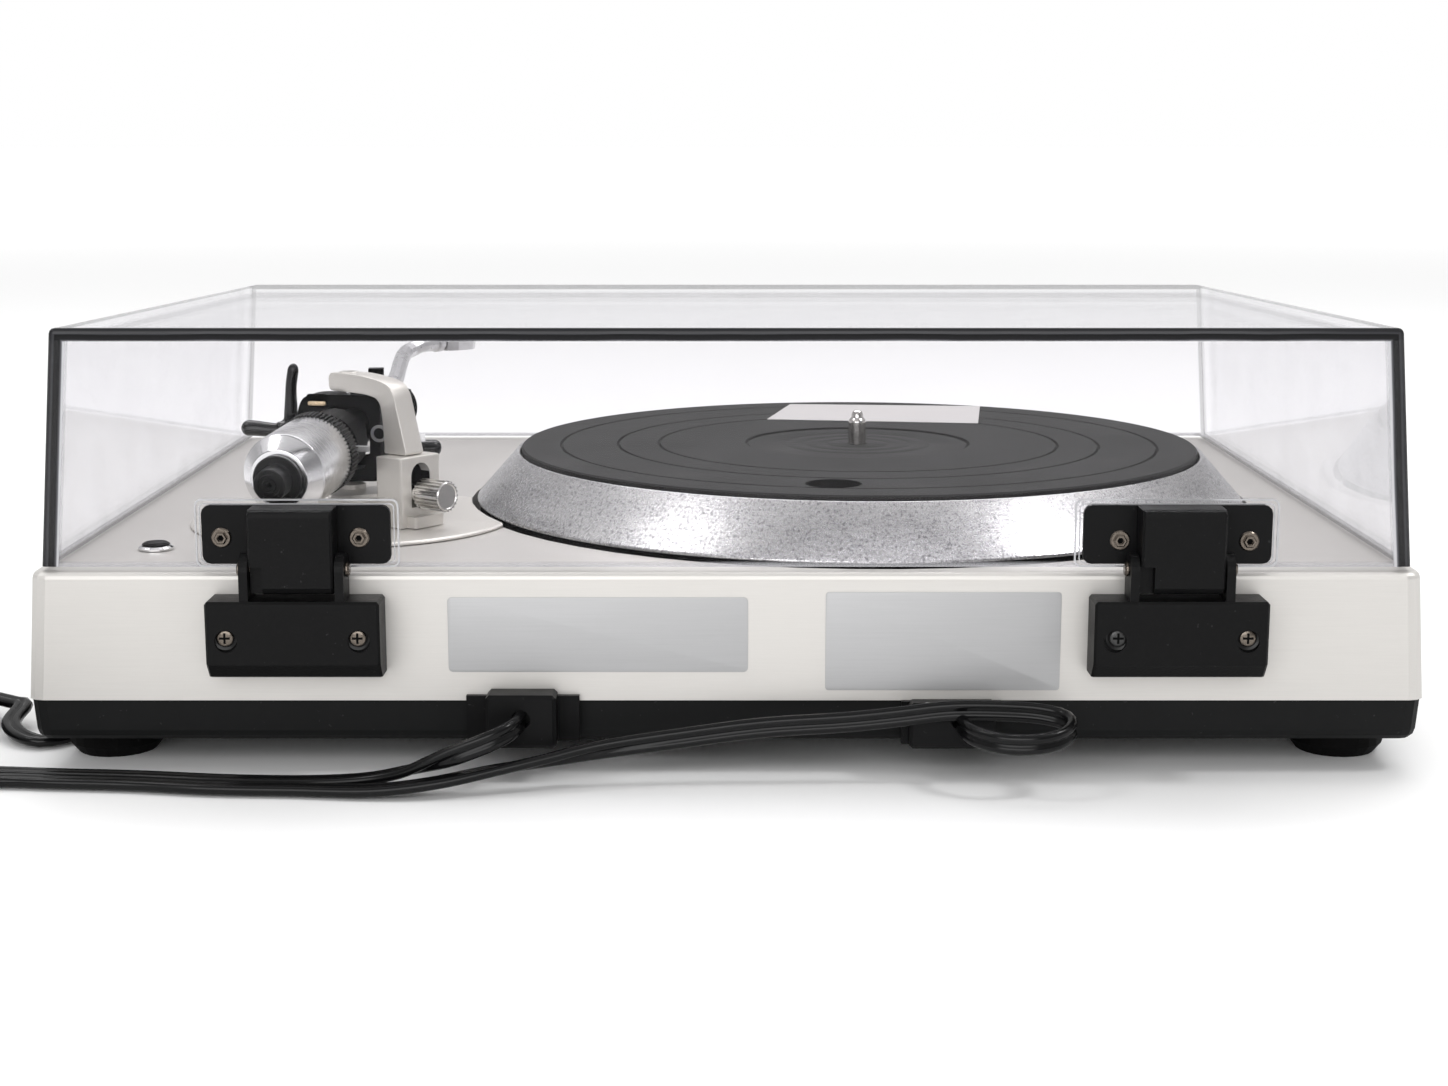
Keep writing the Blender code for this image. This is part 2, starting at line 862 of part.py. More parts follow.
def cover_form(name, inset, material=None):
    """The cover's block with its drafted walls, or the room in it when it is inset."""
    shape = bmesh.new()
    bmesh.ops.create_cube(shape, size=1)
    full = cover_rear_height - cover_bottom_gap
    side_draft = (cover_bottom_width - cover_top_width) / 2 / full
    end_draft = cover_lean / full
    bottom = cover_bottom_gap - (overrun if inset else 0)
    for vert in shape.verts:
        high = vert.co.z > 0
        rear = vert.co.y > 0
        height = (cover_rear_height if rear else cover_front_height) - inset if high else bottom
        half_width = cover_bottom_width / 2 - side_draft * (height - cover_bottom_gap) - inset
        lean = end_draft * (height - cover_bottom_gap)
        depth = cover_rear_depth + lean + inset if rear else cover_front_depth - lean - inset
        vert.co = at(math.copysign(half_width, vert.co.x), depth, height)
    if not inset:
        bevel_where(shape, lambda a, b: max(a.co.z, b.co.z) > deck_z + overrun, cover_edge, 3)
    bmesh.ops.recalc_face_normals(shape, faces=shape.faces)
    mesh = bpy.data.meshes.new(name)
    shape.to_mesh(mesh)
    shape.free()
    return link(bpy.data.objects.new(name, mesh), material)


def make_cover():
    """The clear dust cover: an open box with drafted walls and a pad behind each hinge."""
    cover = cover_form("dust_cover", 0, clear_acrylic())
    combine(cover, cover_form("cover_room", cover_wall), "DIFFERENCE")
    for x in (left_hinge_x, right_hinge_x):
        pad = plate("hinge_pad", rounded_outline(pad_width, pad_top - pad_bottom, pad_corner), pad_thickness)
        middle = at(x, pad_face_depth + pad_thickness / 2, (pad_top + pad_bottom) / 2)
        pad.matrix_world = Matrix.Translation(middle) @ side_profile()
        combine(cover, pad, "UNION")


def hinge_block_outline():
    """The lower block seen from the side: depth across, height up, with its lower bevel."""
    outer = -hinge_block_depth
    return [
        (-seat_gap, hinge_block_top),
        (outer, hinge_block_top),
        (outer, hinge_block_bottom + hinge_block_bevel),
        (outer + hinge_block_bevel * 0.8, hinge_block_bottom),
        (-seat_gap, hinge_block_bottom),
    ]


def across(x, depth=0, height=0):
    """A frame whose XY plane is seen from the side: X is depth forwards, Y is up, Z is across."""
    turn = Matrix(((0, 0, -1, 0), (-1, 0, 0, 0), (0, 1, 0, 0), (0, 0, 0, 1)))
    return Matrix.Translation(at(x, depth, height)) @ turn


def make_hinge(side, x):
    """One hinge: a fixed block with two ears, a pin, and the plate and cover that turn with the lid."""
    body = plate(f"hinge_block_{side}", hinge_block_outline(), hinge_block_width, black_plastic(), across(x))
    soften(body, hinge_block_corner, 1)
    ear_middle = hinge_cover_width / 2 + ear_inner_gap + ear_thickness / 2
    ear_foot = hinge_block_top - overrun - hinge_pin_height
    for turn in (-1, 1):
        outline = arc((0, 0), ear_radius, math.pi, 0, 10)
        outline += [(ear_radius, ear_foot), (-ear_radius, ear_foot)]
        place = across(x + turn * ear_middle, hinge_pin_depth, hinge_pin_height)
        combine(body, plate("hinge_ear", outline, ear_thickness, None, place), "UNION")
    bore_length = hinge_block_width
    bore = drum("pin_bore", hinge_pin_radius + hinge_pin_gap, -bore_length / 2, bore_length / 2, None, None, 16)
    bore.matrix_world = across(x, hinge_pin_depth, hinge_pin_height)
    combine(body, bore)
    for turn in (-1, 1):
        place = Matrix.Translation(at(x + turn * hinge_screw_spread / 2, -hinge_block_depth, hinge_screw_height))
        recess = drum("screw_recess", hinge_recess_radius, -hinge_recess_depth, overrun, None, None, 20)
        recess.matrix_world = place @ lying_along_y()
        combine(body, recess)
    make_hinge_plate(side, x)
    make_hinge_cover(side, x)
    make_hinge_pin(side, x, ear_middle + ear_thickness / 2)


def make_hinge_plate(side, x):
    """The steel plate on the lid's pad."""
    height = hinge_plate_top - hinge_plate_bottom
    middle = pad_face_depth - seat_gap - hinge_plate_thickness / 2
    place = Matrix.Translation(at(x, middle, (hinge_plate_top + hinge_plate_bottom) / 2)) @ side_profile()
    outline = rounded_outline(hinge_plate_width, height, hinge_plate_corner)
    plate(f"hinge_plate_{side}", outline, hinge_plate_thickness, black_plastic(), place)


def make_hinge_cover(side, x):
    """The spring's cover, a block between the ears that turns round the pin with the lid."""
    rear = -hinge_cover_reach
    front = pad_face_depth - seat_gap - hinge_plate_thickness - seat_gap - hinge_pin_depth
    top = hinge_cover_top - hinge_pin_height
    outline = [
        (front, top),
        (rear + hinge_cover_corner, top),
        (rear, top - hinge_cover_corner),
        (rear, -hinge_cover_drop * 0.7),
        (rear * 0.7, -hinge_cover_drop),
        (front * 0.7, -hinge_cover_drop),
        (front, -hinge_cover_drop * 0.7),
    ]
    place = across(x, hinge_pin_depth, hinge_pin_height)
    cover = plate(f"hinge_cover_{side}", outline, hinge_cover_width, black_plastic(), place)
    soften(cover, hinge_cover_corner / 2, 1)
    notch = block("cover_notch", (hinge_notch_width * 2, hinge_notch_depth * 2, hinge_notch_height + overrun))
    notch.matrix_world = Matrix.Translation(
        at(
            x + hinge_cover_width / 2,
            hinge_pin_depth - hinge_cover_reach,
            hinge_pin_height - hinge_cover_drop - overrun,
        )
    )
    combine(cover, notch)
    length = hinge_cover_width + overrun
    bore = drum("cover_bore", hinge_pin_radius + hinge_pin_gap, -length / 2, length / 2, None, None, 16)
    bore.matrix_world = place
    combine(cover, bore)


def make_hinge_pin(side, x, reach):
    """The hinge pin, with a head outside each ear."""
    start = reach + seat_gap
    end = start + hinge_pin_head_length
    profile = [
        (0, end),
        (hinge_pin_head * 0.7, end),
        (hinge_pin_head, end - hinge_pin_head_length / 2),
        (hinge_pin_head, start),
        (hinge_pin_radius, start),
        (hinge_pin_radius, -start),
        (hinge_pin_head, -start),
        (hinge_pin_head, -end + hinge_pin_head_length / 2),
        (hinge_pin_head * 0.7, -end),
        (0, -end),
    ]
    pin = lathe(f"hinge_pin_{side}", profile, bright_metal(), None, 12)
    pin.matrix_world = across(x, hinge_pin_depth, hinge_pin_height)


def make_platter():
    """The cast platter, its mat, the spindle and the rotor's magnet."""
    place = Matrix.Translation(PLATTER)
    seat = mat_height - mat_thickness - seat_gap
    web = seat - platter_web
    inner = platter_radius - platter_wall
    profile = [
        (mat_radius + seat_gap, seat),
        (mat_radius + seat_gap, platter_lip - 0.2 * platter_web),
        (platter_top_radius - 0.2 * platter_web, platter_lip),
        (platter_radius - 0.3 * platter_wall, platter_base_height + 0.35 * platter_wall),
        (platter_radius, platter_base_height),
        (platter_radius, -platter_skirt),
        (inner, -platter_skirt),
        (inner, platter_base_height),
        (mat_radius - 2 * platter_wall, web),
        (hub_radius, web),
        (hub_radius, hub_bottom),
        (spindle_radius + bore_gap, hub_bottom),
        (spindle_radius + bore_gap, seat),
    ]
    platter = lathe("platter", profile, cast_aluminium(), place, platter_steps, ring=True)
    smooth(platter)
    hole_place = place @ Matrix.Translation((finger_hole_x, finger_hole_y, 0))
    combine(platter, drum("platter_hole", finger_hole_radius, 0, mat_height + overrun, None, hole_place, 24))
    make_mat(place, hole_place)
    make_spindle(place)
    top = web - seat_gap
    ring = [
        (magnet_radius, top),
        (magnet_radius, top - magnet_height),
        (magnet_inner_radius, top - magnet_height),
        (magnet_inner_radius, top),
    ]
    lathe("rotor_magnet", ring, bright_metal(), place, 32, ring=True)


def make_mat(place, hole_place):
    """The rubber mat, with turned grooves and a recess for the record's label."""
    bottom = mat_height - mat_thickness
    groove = mat_height - mat_groove_depth
    bore = spindle_radius + bore_gap
    groove_shares = (0.93, 0.65)
    profile = [(bore, groove), (label_radius, groove), (label_radius + mat_groove_width, mat_height)]
    for share in reversed(groove_shares):
        middle = mat_radius * share
        profile += [
            (middle - mat_groove_width, mat_height),
            (middle, groove),
            (middle + mat_groove_width, mat_height),
        ]
    profile += [
        (mat_radius - mat_groove_width / 2, mat_height),
        (mat_radius, mat_height - mat_groove_depth),
        (mat_radius, bottom),
        (bore, bottom),
    ]
    mat = lathe("platter_mat", profile, black_rubber(), place, platter_steps, ring=True)
    combine(mat, drum("mat_hole", finger_hole_radius, 0, mat_height + overrun, None, hole_place, 24))


def make_spindle(place):
    """The spindle, its collar under the platter's hub and its shaft in the bearing."""
    collar_top = hub_bottom - seat_gap
    shaft_end = -bearing_depth + bearing_floor + seat_gap
    profile = [
        (0, spindle_height),
        (spindle_radius * 0.45, spindle_height - spindle_radius * 0.15),
        (spindle_radius * 0.82, spindle_height - spindle_radius * 0.55),
        (spindle_radius, spindle_height - spindle_radius * 1.2),
        (spindle_radius, collar_top),
        (spindle_collar_radius, collar_top),
        (spindle_collar_radius, collar_top - spindle_collar_height),
        (spindle_radius, collar_top - spindle_collar_height),
        (spindle_radius, shaft_end),
        (0, shaft_end),
    ]
    smooth(lathe("spindle", profile, bright_metal(), place, 20))


def make_motor():
    """The bearing housing through the well's floor and the stator round it."""
    place = Matrix.Translation(PLATTER)
    flange_bottom = -well_depth + seat_gap
    flange_top = flange_bottom + bearing_flange_thickness
    profile = [
        (0, -bearing_depth + bearing_floor),
        (spindle_radius + bore_gap, -bearing_depth + bearing_floor),
        (spindle_radius + bore_gap, flange_top),
        (bearing_flange_radius, flange_top),
        (bearing_flange_radius, flange_bottom),
        (bearing_tube_radius, flange_bottom),
        (bearing_tube_radius, -bearing_depth),
        (0, -bearing_depth),
    ]
    lathe("bearing_housing", profile, bright_metal(), place, 24)
    ring = [
        (stator_radius, flange_bottom + stator_height),
        (stator_radius, flange_bottom),
        (stator_inner_radius, flange_bottom),
        (stator_inner_radius, flange_bottom + stator_height),
    ]
    stator = lathe("motor_stator", ring, black_plastic(), place, 32, ring=True)
    middle = (stator_inner_radius + stator_radius) / 2
    top = flange_bottom + stator_height
    for index in range(coil_count):
        turn = Matrix.Rotation(2 * math.pi * index / coil_count, 4, "Z")
        spot = place @ turn @ Matrix.Translation((middle, 0, 0))
        coil = drum("stator_coil", coil_radius, top - coil_height, top + coil_height, None, spot, 10)
        combine(stator, coil, "UNION")


def make_inside():
    """The mains transformer and the control board on the tray."""
    floor = tray_floor_z + seat_gap
    place = Matrix.Translation((transformer_x, rear_y - transformer_setback, floor))
    flange = (transformer_width + 4 * transformer_edge, transformer_length, transformer_flange)
    transformer = block("power_transformer", flange, bright_metal(), place)
    core = (transformer_width, transformer_core, transformer_height)
    combine(transformer, block("core_joint", core, None, place), "UNION")
    spool_length = transformer_length - 2 * transformer_edge
    winding = (transformer_width - 4 * transformer_edge, spool_length, transformer_height - 2 * transformer_edge)
    spool_place = place @ Matrix.Translation((0, 0, transformer_flange / 2))
    spool = block("spool_joint", winding, None, spool_place, corner=transformer_edge, top=transformer_edge)
    combine(transformer, spool, "UNION")
    board_place = Matrix.Translation((board_x, rear_y - board_setback, tray_floor_z + board_stand + seat_gap))
    board = block("control_board", (board_width, board_length, board_thickness), black_plastic(), board_place)
    chips = {
        (-0.36, 0.10): (0.10, 0.30, 1.0),
        (-0.20, -0.15): (0.14, 0.24, 0.4),
        (0.02, 0.12): (0.08, 0.36, 0.8),
        (0.20, -0.10): (0.16, 0.30, 0.5),
        (0.38, 0.14): (0.09, 0.30, 0.9),
    }
    for (x_share, y_share), (width_share, length_share, height_share) in chips.items():
        spot = board_place @ Matrix.Translation((x_share * board_width, y_share * board_length, board_thickness / 2))
        size = (width_share * board_width, length_share * board_length, height_share * board_part_height)
        combine(board, block("board_part", size, None, spot), "UNION")


def make_arm_base():
    """The raised plateau and the cast base with its pedestal, slot and lower pivot."""
    place = Matrix.Translation(at(pivot_x, pivot_setback, 0))
    profile = [
        (0, plateau_height),
        (plateau_radius - plateau_edge, plateau_height),
        (plateau_radius, plateau_height - plateau_edge),
        (plateau_radius, seat_gap),
        (0, seat_gap),
    ]
    plateau = lathe("arm_plateau", profile, silver_paint(), place, 56)
    combine(plateau, drum("plateau_cutter", well_radius, -overrun, overrun, None, Matrix.Translation(PLATTER), 56))
    base = lathe(
        "arm_base",
        [
            (0, boss_height + lower_pivot_height),
            (lower_pivot_radius * 0.6, boss_height + lower_pivot_height),
            (lower_pivot_radius, boss_height + lower_pivot_height * 0.6),
            (lower_pivot_radius, boss_height),
            (boss_radius * 0.94, boss_height),
            (boss_radius, boss_height - boss_radius * 0.06),
            (boss_radius, 0),
            (0, 0),
        ],
        silver_paint(),
        YOKE,
        32,
    )
    length = pedestal_outer - pedestal_inner
    middle = YOKE @ Matrix.Translation(((pedestal_outer + pedestal_inner) / 2, 0, 0))
    size = (length, pedestal_width, pedestal_height - plateau_height - seat_gap)
    pedestal = block("pedestal_joint", size, None, middle, corner=pedestal_corner, top=pedestal_corner, segments=2)
    combine(base, pedestal, "UNION")
    root_length = pedestal_outer - boss_radius + pedestal_corner
    root_place = YOKE @ Matrix.Translation((pedestal_outer - pedestal_corner - root_length / 2, 0, 0))
    root_size = (root_length, pedestal_width - 4 * pedestal_corner, boss_height - plateau_height - seat_gap)
    combine(base, block("root_joint", root_size, None, root_place), "UNION")
    step_place = YOKE @ Matrix.Translation((pedestal_outer, 0, 0))
    step_size = (2 * step_reach, step_width, step_height - plateau_height - seat_gap)
    combine(base, block("step_joint", step_size, None, step_place, corner=pedestal_corner, segments=2), "UNION")
    radius = slot_width / 2
    drop = plateau_height + seat_gap
    outline = arc((0, slot_top - radius - drop), radius, 0, math.pi, 8)
    outline += [(-radius, slot_bottom - drop), (radius, slot_bottom - drop)]
    slot_frame = Matrix(((0, 0, 1, 0), (1, 0, 0, 0), (0, 1, 0, 0), (0, 0, 0, 1)))
    slot_place = YOKE @ Matrix.Translation((pedestal_outer, 0, 0)) @ slot_frame
    combine(base, plate("slot_cutter", outline, 2 * slot_depth, None, slot_place))
    pin_hole = drum("pin_hole", pivot_pin_radius + bore_gap, 0, overrun, None, None, 12)
    pin_hole.matrix_world = YOKE @ Matrix.Translation((0, 0, boss_height + lower_pivot_height - pivot_pin_depth))
    combine(base, pin_hole)


def yoke_outline():
    """The yoke seen from the side: the bar over the gimbal, the shoulder and the leaning pillar."""
    drop = plateau_height + seat_gap
    foot = pedestal_height + seat_gap - drop
    low = yoke_bar_bottom - drop
    high = yoke_bar_top - drop
    return [
        (yoke_bar_end, low),
        (yoke_bar_end, high - yoke_crown),
        (yoke_bar_end + yoke_crown, high),
        (yoke_crown - yoke_bar_end, high),
        (yoke_bend, high - yoke_bend_drop),
        (yoke_slope, high - yoke_slope_drop),
        (yoke_shoulder, high - yoke_shoulder_drop),
        (yoke_corner, high - yoke_corner_drop),
        (yoke_foot_outer, foot),
        (yoke_foot_inner, foot),
        (yoke_waist, low - yoke_waist_drop),
        (yoke_inner_bend, low - yoke_inner_bend_drop),
        (yoke_bend, low - yoke_bend_drop),
    ]


def make_yoke():
    """The painted yoke that holds the gimbal's upper pivot."""
    place = YOKE @ side_profile()
    yoke = plate("arm_yoke", yoke_outline(), yoke_width, silver_paint(), place)
    soften(yoke, yoke_edge, 1, 30)
    top = yoke_bar_top - plateau_height - seat_gap
    screw = drum("screw_seat", pivot_screw_radius, top - pivot_screw_depth, top + overrun, None, YOKE, 20)
    combine(yoke, screw)
    low = yoke_bar_bottom - plateau_height - seat_gap
    hole = drum("upper_pin_hole", pivot_pin_radius + bore_gap, low - overrun, low + pivot_pin_depth, None, YOKE, 12)
    combine(yoke, hole)


def make_gimbal():
    """The gimbal ring, which swings between the upper and lower pivots."""
    place = SWING @ Matrix.Translation((0, 0, -gimbal_drop / 2)) @ side_profile()
    height = gimbal_height + gimbal_drop
    ring = plate("gimbal_ring", rounded_outline(gimbal_width, height, gimbal_corner), gimbal_depth)
    ring.data.materials.append(black_plastic())
    ring.matrix_world = place
    inner = (gimbal_width - 2 * gimbal_wall, height - 2 * gimbal_wall)
    window = plate("gimbal_window", rounded_outline(*inner, gimbal_corner - 0.4 * gimbal_wall), 2 * gimbal_depth)
    window.matrix_world = place
    soften(ring, gimbal_edge, 1, 60)
    combine(ring, window)
    house_size = (gimbal_house_reach + gimbal_wall / 2, gimbal_depth, gimbal_house_height)
    house_x = gimbal_width / 2 + gimbal_house_reach / 2 - gimbal_wall / 4
    house_place = SWING @ Matrix.Translation((house_x, 0, -gimbal_house_height / 2))
    house = block("bearing_joint", house_size, None, house_place, corner=gimbal_edge, top=gimbal_edge, segments=2)
    combine(ring, house, "UNION")
    upper = gimbal_height / 2 - gimbal_wall / 2
    upper_end = yoke_bar_bottom - pivot_height + pivot_pin_depth / 4
    combine(ring, drum("upper_pin", pivot_pin_radius, upper, upper_end, None, SWING, 12), "UNION")
    lower = upper + gimbal_drop
    floor = plateau_height + seat_gap + boss_height + lower_pivot_height
    lower_end = pivot_height - floor + pivot_pin_depth * 0.6
    combine(ring, drum("lower_pin", pivot_pin_radius, -lower_end, -lower, None, SWING, 12), "UNION")
    bore = drum("trunnion_bore", trunnion_radius + trunnion_gap, -gimbal_width, gimbal_width, None, None, 16)
    bore.matrix_world = SWING @ upright((1, 0, 0))
    combine(ring, bore)


def make_arm_hub():
    """The arm's hub with its two trunnions and the shaft for the counterweight."""
    profile = [
        (0, hub_front),
        (tube_radius * 1.15, hub_front),
        (hub_tube_radius, hub_front * 0.72),
        (hub_tube_radius, -hub_drum_start),
        (arm_hub_collar_radius - hub_drum_edge, -hub_drum_start),
        (arm_hub_collar_radius, -hub_drum_start - hub_drum_edge),
        (arm_hub_collar_radius, -hub_rear),
        (shaft_radius, -hub_rear),
        (shaft_radius, -hub_rear - shaft_length + overrun * 0.25),
        (shaft_radius * 0.8, -hub_rear - shaft_length),
        (0, -hub_rear - shaft_length),
    ]
    hub = smooth(lathe("arm_hub", profile, black_plastic(), ARM @ upright((0, -1, 0)), 24))
    half = gimbal_width / 2 - gimbal_wall * 0.15
    pin = drum("trunnion", trunnion_radius, -half, half, None, None, 16)
    pin.matrix_world = ARM @ upright((1, 0, 0))
    combine(hub, pin, "UNION")
    shoulder_half = gimbal_width / 2 - gimbal_wall - seat_gap
    shoulder = drum("trunnion_shoulder", trunnion_radius * 1.9, -shoulder_half, shoulder_half, None, None, 16)
    shoulder.matrix_world = ARM @ upright((1, 0, 0))
    combine(hub, shoulder, "UNION")


def collar_place():
    """The frame of the headshell's collar: local -Y runs out along the headshell."""
    place = ARM @ Matrix.Translation((collar_outset, -collar_reach, 0))
    return place @ Matrix.Rotation(-offset_angle, 4, "Z") @ Matrix.Rotation(tube_level, 4, "X")


def tube_route():
    """The centre line of the arm tube: out to the side, a quick bend, and in to the headshell."""
    slope = math.tan(offset_angle)
    tip = math.tan(tube_level)
    near = collar_length
    return [
        (0, -tube_start, 0),
        (0, -tube_start * 1.9, 0),
        (tube_outset * 0.09, -tube_start * 2.9, 0),
        (tube_outset * 0.22, -tube_start * 4.2, 0),
        (tube_outset * 0.49, -elbow_reach * 0.62, 0),
        (tube_outset * 0.78, -elbow_reach * 0.81, 0),
        (tube_outset * 0.97, -elbow_reach * 0.95, 0),
        (tube_outset * 0.99, -elbow_reach, 0),
        (collar_outset + 1.6 * near * slope, -collar_reach + 1.6 * near, 1.6 * near * tip),
        (collar_outset + 0.5 * near * slope, -collar_reach + 0.5 * near, 0.5 * near * tip),
        (collar_outset, -collar_reach, 0),
    ]


def make_arm_tube():
    """The arm tube, the locking collar and the bare headshell."""
    points = smooth_route(tube_route(), tube_radius * 1.7)
    tube("arm_tube", points, tube_radius, bright_metal(), ARM, resolution=4)
    frame = collar_place()
    out = frame @ upright((0, -1, 0))
    profile = [
        (0, collar_length + seat_gap),
        (collar_radius * 0.86, collar_length + seat_gap),
        (collar_radius, collar_length * 0.85),
        (collar_radius, collar_length * 0.2),
        (collar_radius * 0.86, seat_gap),
        (0, seat_gap),
    ]
    smooth(lathe("headshell_collar", profile, bright_metal(), out, 24))
    make_headshell(frame)


def headshell_outline(start, nose, half, tip):
    """The headshell from above, from its neck to its nose."""
    return [
        (half * 0.62, start),
        (half, start - headshell_length * 0.22),
        (half, nose + headshell_nose),
        (tip, nose + 0.12 * headshell_nose),
        (tip * 0.6, nose),
        (-tip * 0.6, nose),
        (-tip, nose + 0.12 * headshell_nose),
        (-half, nose + headshell_nose),
        (-half, start - headshell_length * 0.22),
        (-half * 0.62, start),
    ]


def make_headshell(frame):
    """The bare headshell: a plate with two slots between low flanges, a neck and a looped finger lift."""
    start = -collar_length - 2 * seat_gap
    nose = start - headshell_length
    half = headshell_width / 2
    tip = half * 0.5
    outline = headshell_outline(start, nose, half, tip)
    lower = Matrix.Translation((0, 0, -headshell_flange / 2 + headshell_thickness / 2))
    shell = plate("headshell", outline, headshell_flange, bright_metal(), frame @ lower)
    inside = headshell_outline(start - 4 * headshell_wall, nose + headshell_wall, half - headshell_wall, tip * 0.6)
    hollow = plate("headshell_hollow", inside, headshell_flange, None, frame @ lower)
    hollow.matrix_world = frame @ lower @ Matrix.Translation((0, 0, -headshell_thickness))
    combine(shell, hollow)
    for side in (-1, 1):
        slot = plate(
            "headshell_slot",
            rounded_outline(headshell_slot_width, headshell_slot_length, headshell_slot_width * 0.49, 3),
            4 * headshell_thickness,
        )
        spot = (side * headshell_slot_spread / 2, nose + headshell_nose + headshell_slot_length * 0.7, 0)
        slot.matrix_world = frame @ Matrix.Translation(spot)
        combine(shell, slot)
    lift_points = [
        (half - lift_radius, nose + headshell_nose * 1.4, 0),
        (half + lift_reach * 0.45, nose + headshell_nose * 1.3, -lift_radius),
        (half + lift_reach * 0.85, nose + headshell_nose, -lift_radius),
        (half + lift_reach, nose + headshell_nose * 0.6, lift_radius * 2),
    ]
    finger = tube("finger_joint", smooth_route(lift_points, lift_radius * 4), lift_radius, None, frame, 1)
    combine(shell, finger, "UNION")


def make_counterweight():
    """The counterweight, its tracking-force dial and the sleeve that carries both along the shaft."""
    back = ARM @ upright((0, 1, 0))
    bore = sleeve_radius + weight_bore_gap
    weight = [
        (weight_radius, weight_front),
        (weight_radius, weight_shoulder),
        (weight_end_radius, weight_rear),
        (bore, weight_rear),
        (bore, weight_front),
    ]
    lathe("counterweight", list(reversed(weight)), bright_metal(), back, 40, ring=True)
    length = weight_front - seat_gap - dial_front
    dial = plate(
        "tracking_dial",
        ribbed_outline(dial_radius, dial_rib_height, dial_ribs),
        length,
        black_plastic(),
        back @ Matrix.Translation((0, 0, dial_front + length / 2)),
    )
    hole = drum("dial_bore", bore, dial_front - overrun, weight_front + overrun, None, back, 32)
    combine(dial, hole)
    inner = shaft_radius + weight_bore_gap
    end = hub_rear + shaft_length + weight_screw_pitch / 2 + seat_gap
    sleeve = [
        (sleeve_radius, sleeve_front),
        (inner, sleeve_front),
        (inner, end),
        (sleeve_hole_radius, end),
        (sleeve_hole_radius, sleeve_cap_rear),
        (sleeve_cap_radius * 0.9, sleeve_cap_rear),
        (sleeve_cap_radius, sleeve_cap_rear - sleeve_cap_radius * 0.1),
        (sleeve_cap_radius, sleeve_collar_rear),
        (sleeve_collar_radius, sleeve_collar_rear),
        (sleeve_collar_radius, sleeve_cap_front),
        (sleeve_radius, sleeve_cap_front),
    ]
    lathe("counterweight_sleeve", sleeve, black_plastic(), back, 22, ring=True)


def make_arm_controls():
    """The anti-skating dial, the height lock's knob and the lift with its levers."""
    drop = plateau_height + seat_gap
    dial_place = YOKE @ Matrix.Translation((skate_dial_reach, yoke_width / 2 + seat_gap, skate_dial_height - drop))
    dial = lathe(
        "anti_skate_dial",
        [
            (0, skate_dial_thickness),
            (skate_dial_radius * 0.86, skate_dial_thickness),
            (skate_dial_radius, skate_dial_thickness * 0.75),
            (skate_dial_radius, 0),
            (0, 0),
        ],
        black_plastic(),
        dial_place @ upright((0, 1, 0)),
        32,
    )
    smooth(dial)
    knob_frame = YOKE @ Matrix.Translation((0, 0, knob_height - drop)) @ upright((1, 0, 0))
    length = knob_end - knob_start
    knob = plate(
        "height_lock_knob",
        ribbed_outline(knob_radius, knob_rib_height, knob_ribs),
        length,
        bright_metal(),
        knob_frame @ Matrix.Translation((0, 0, knob_start + length / 2)),
    )
    stem_start = pedestal_outer - slot_depth + seat_gap
    stem = drum("knob_stem", knob_stem_radius, stem_start, knob_start + length / 2, None, knob_frame, 16)
    combine(knob, stem, "UNION")
    make_lift()


def make_lift():
    """The lift's housing, its curved rail, the cueing lever and the arm lock's lever."""
    base = at(pivot_x, pivot_setback, plateau_height + seat_gap)
    house_place = Matrix.Translation(base + Vector((lift_house_x, -lift_house_y, 0)))
    size = (lift_house_width, lift_house_depth, lift_house_height)
    house = block(
        "lift_housing",
        size,
        black_plastic(),
        house_place,
        corner=lift_house_corner,
        top=lift_house_edge,
        segments=2,
    )
    post_x = -lift_arc_radius * math.sin(lift_arc_start)
    post_y = -lift_arc_radius * math.cos(lift_arc_start)
    post_place = Matrix.Translation(base + Vector((post_x, post_y, 0)))
    inner_reach = lift_arc_radius - lift_arc_width / 2
    tube_rise = inner_reach * math.tan(arm_rise) - tube_radius / math.cos(arm_rise)
    arc_top = pivot_height + tube_rise - lift_rest_gap - plateau_height - seat_gap
    arc_bottom = arc_top - lift_arc_height
    hole_bottom = arc_bottom - lift_post_length - lift_travel - seat_gap
    combine(
        house, drum("post_hole", lift_post_radius + bore_gap, hole_bottom, 2 * arc_top, None, post_place, 16)
    )
    lock_place = Matrix.Translation(base + Vector((lift_house_x, -lock_lever_y, lift_house_height)))
    combine(house, drum("lock_hole", cue_stem_radius + bore_gap, -overrun, overrun, None, lock_place, 12))
    make_rail(base, arc_bottom, post_place)
    make_cue_lever(base, house)
    lever = drum("arm_lock_lever", lock_hub_radius, seat_gap, seat_gap + lock_hub_height, black_plastic(), lock_place, 20)
    stem = drum("lock_stem", cue_stem_radius, -overrun + seat_gap, lock_hub_height / 2, None, lock_place, 12)
    combine(lever, stem, "UNION")
    handle_height = seat_gap + lock_hub_height - 1.6 * lock_lever_radius
    handle = [
        (lock_lever_radius * 0.3, 0, handle_height),
        (lock_lever_length * 0.5, 0, handle_height),
        (lock_lever_length, 0, handle_height + lock_lever_radius * 0.4),
    ]
    combine(
        lever,
        tube("lock_handle", smooth_route(handle, lock_lever_radius), lock_lever_radius, None, lock_place, 2),
        "UNION",
    )


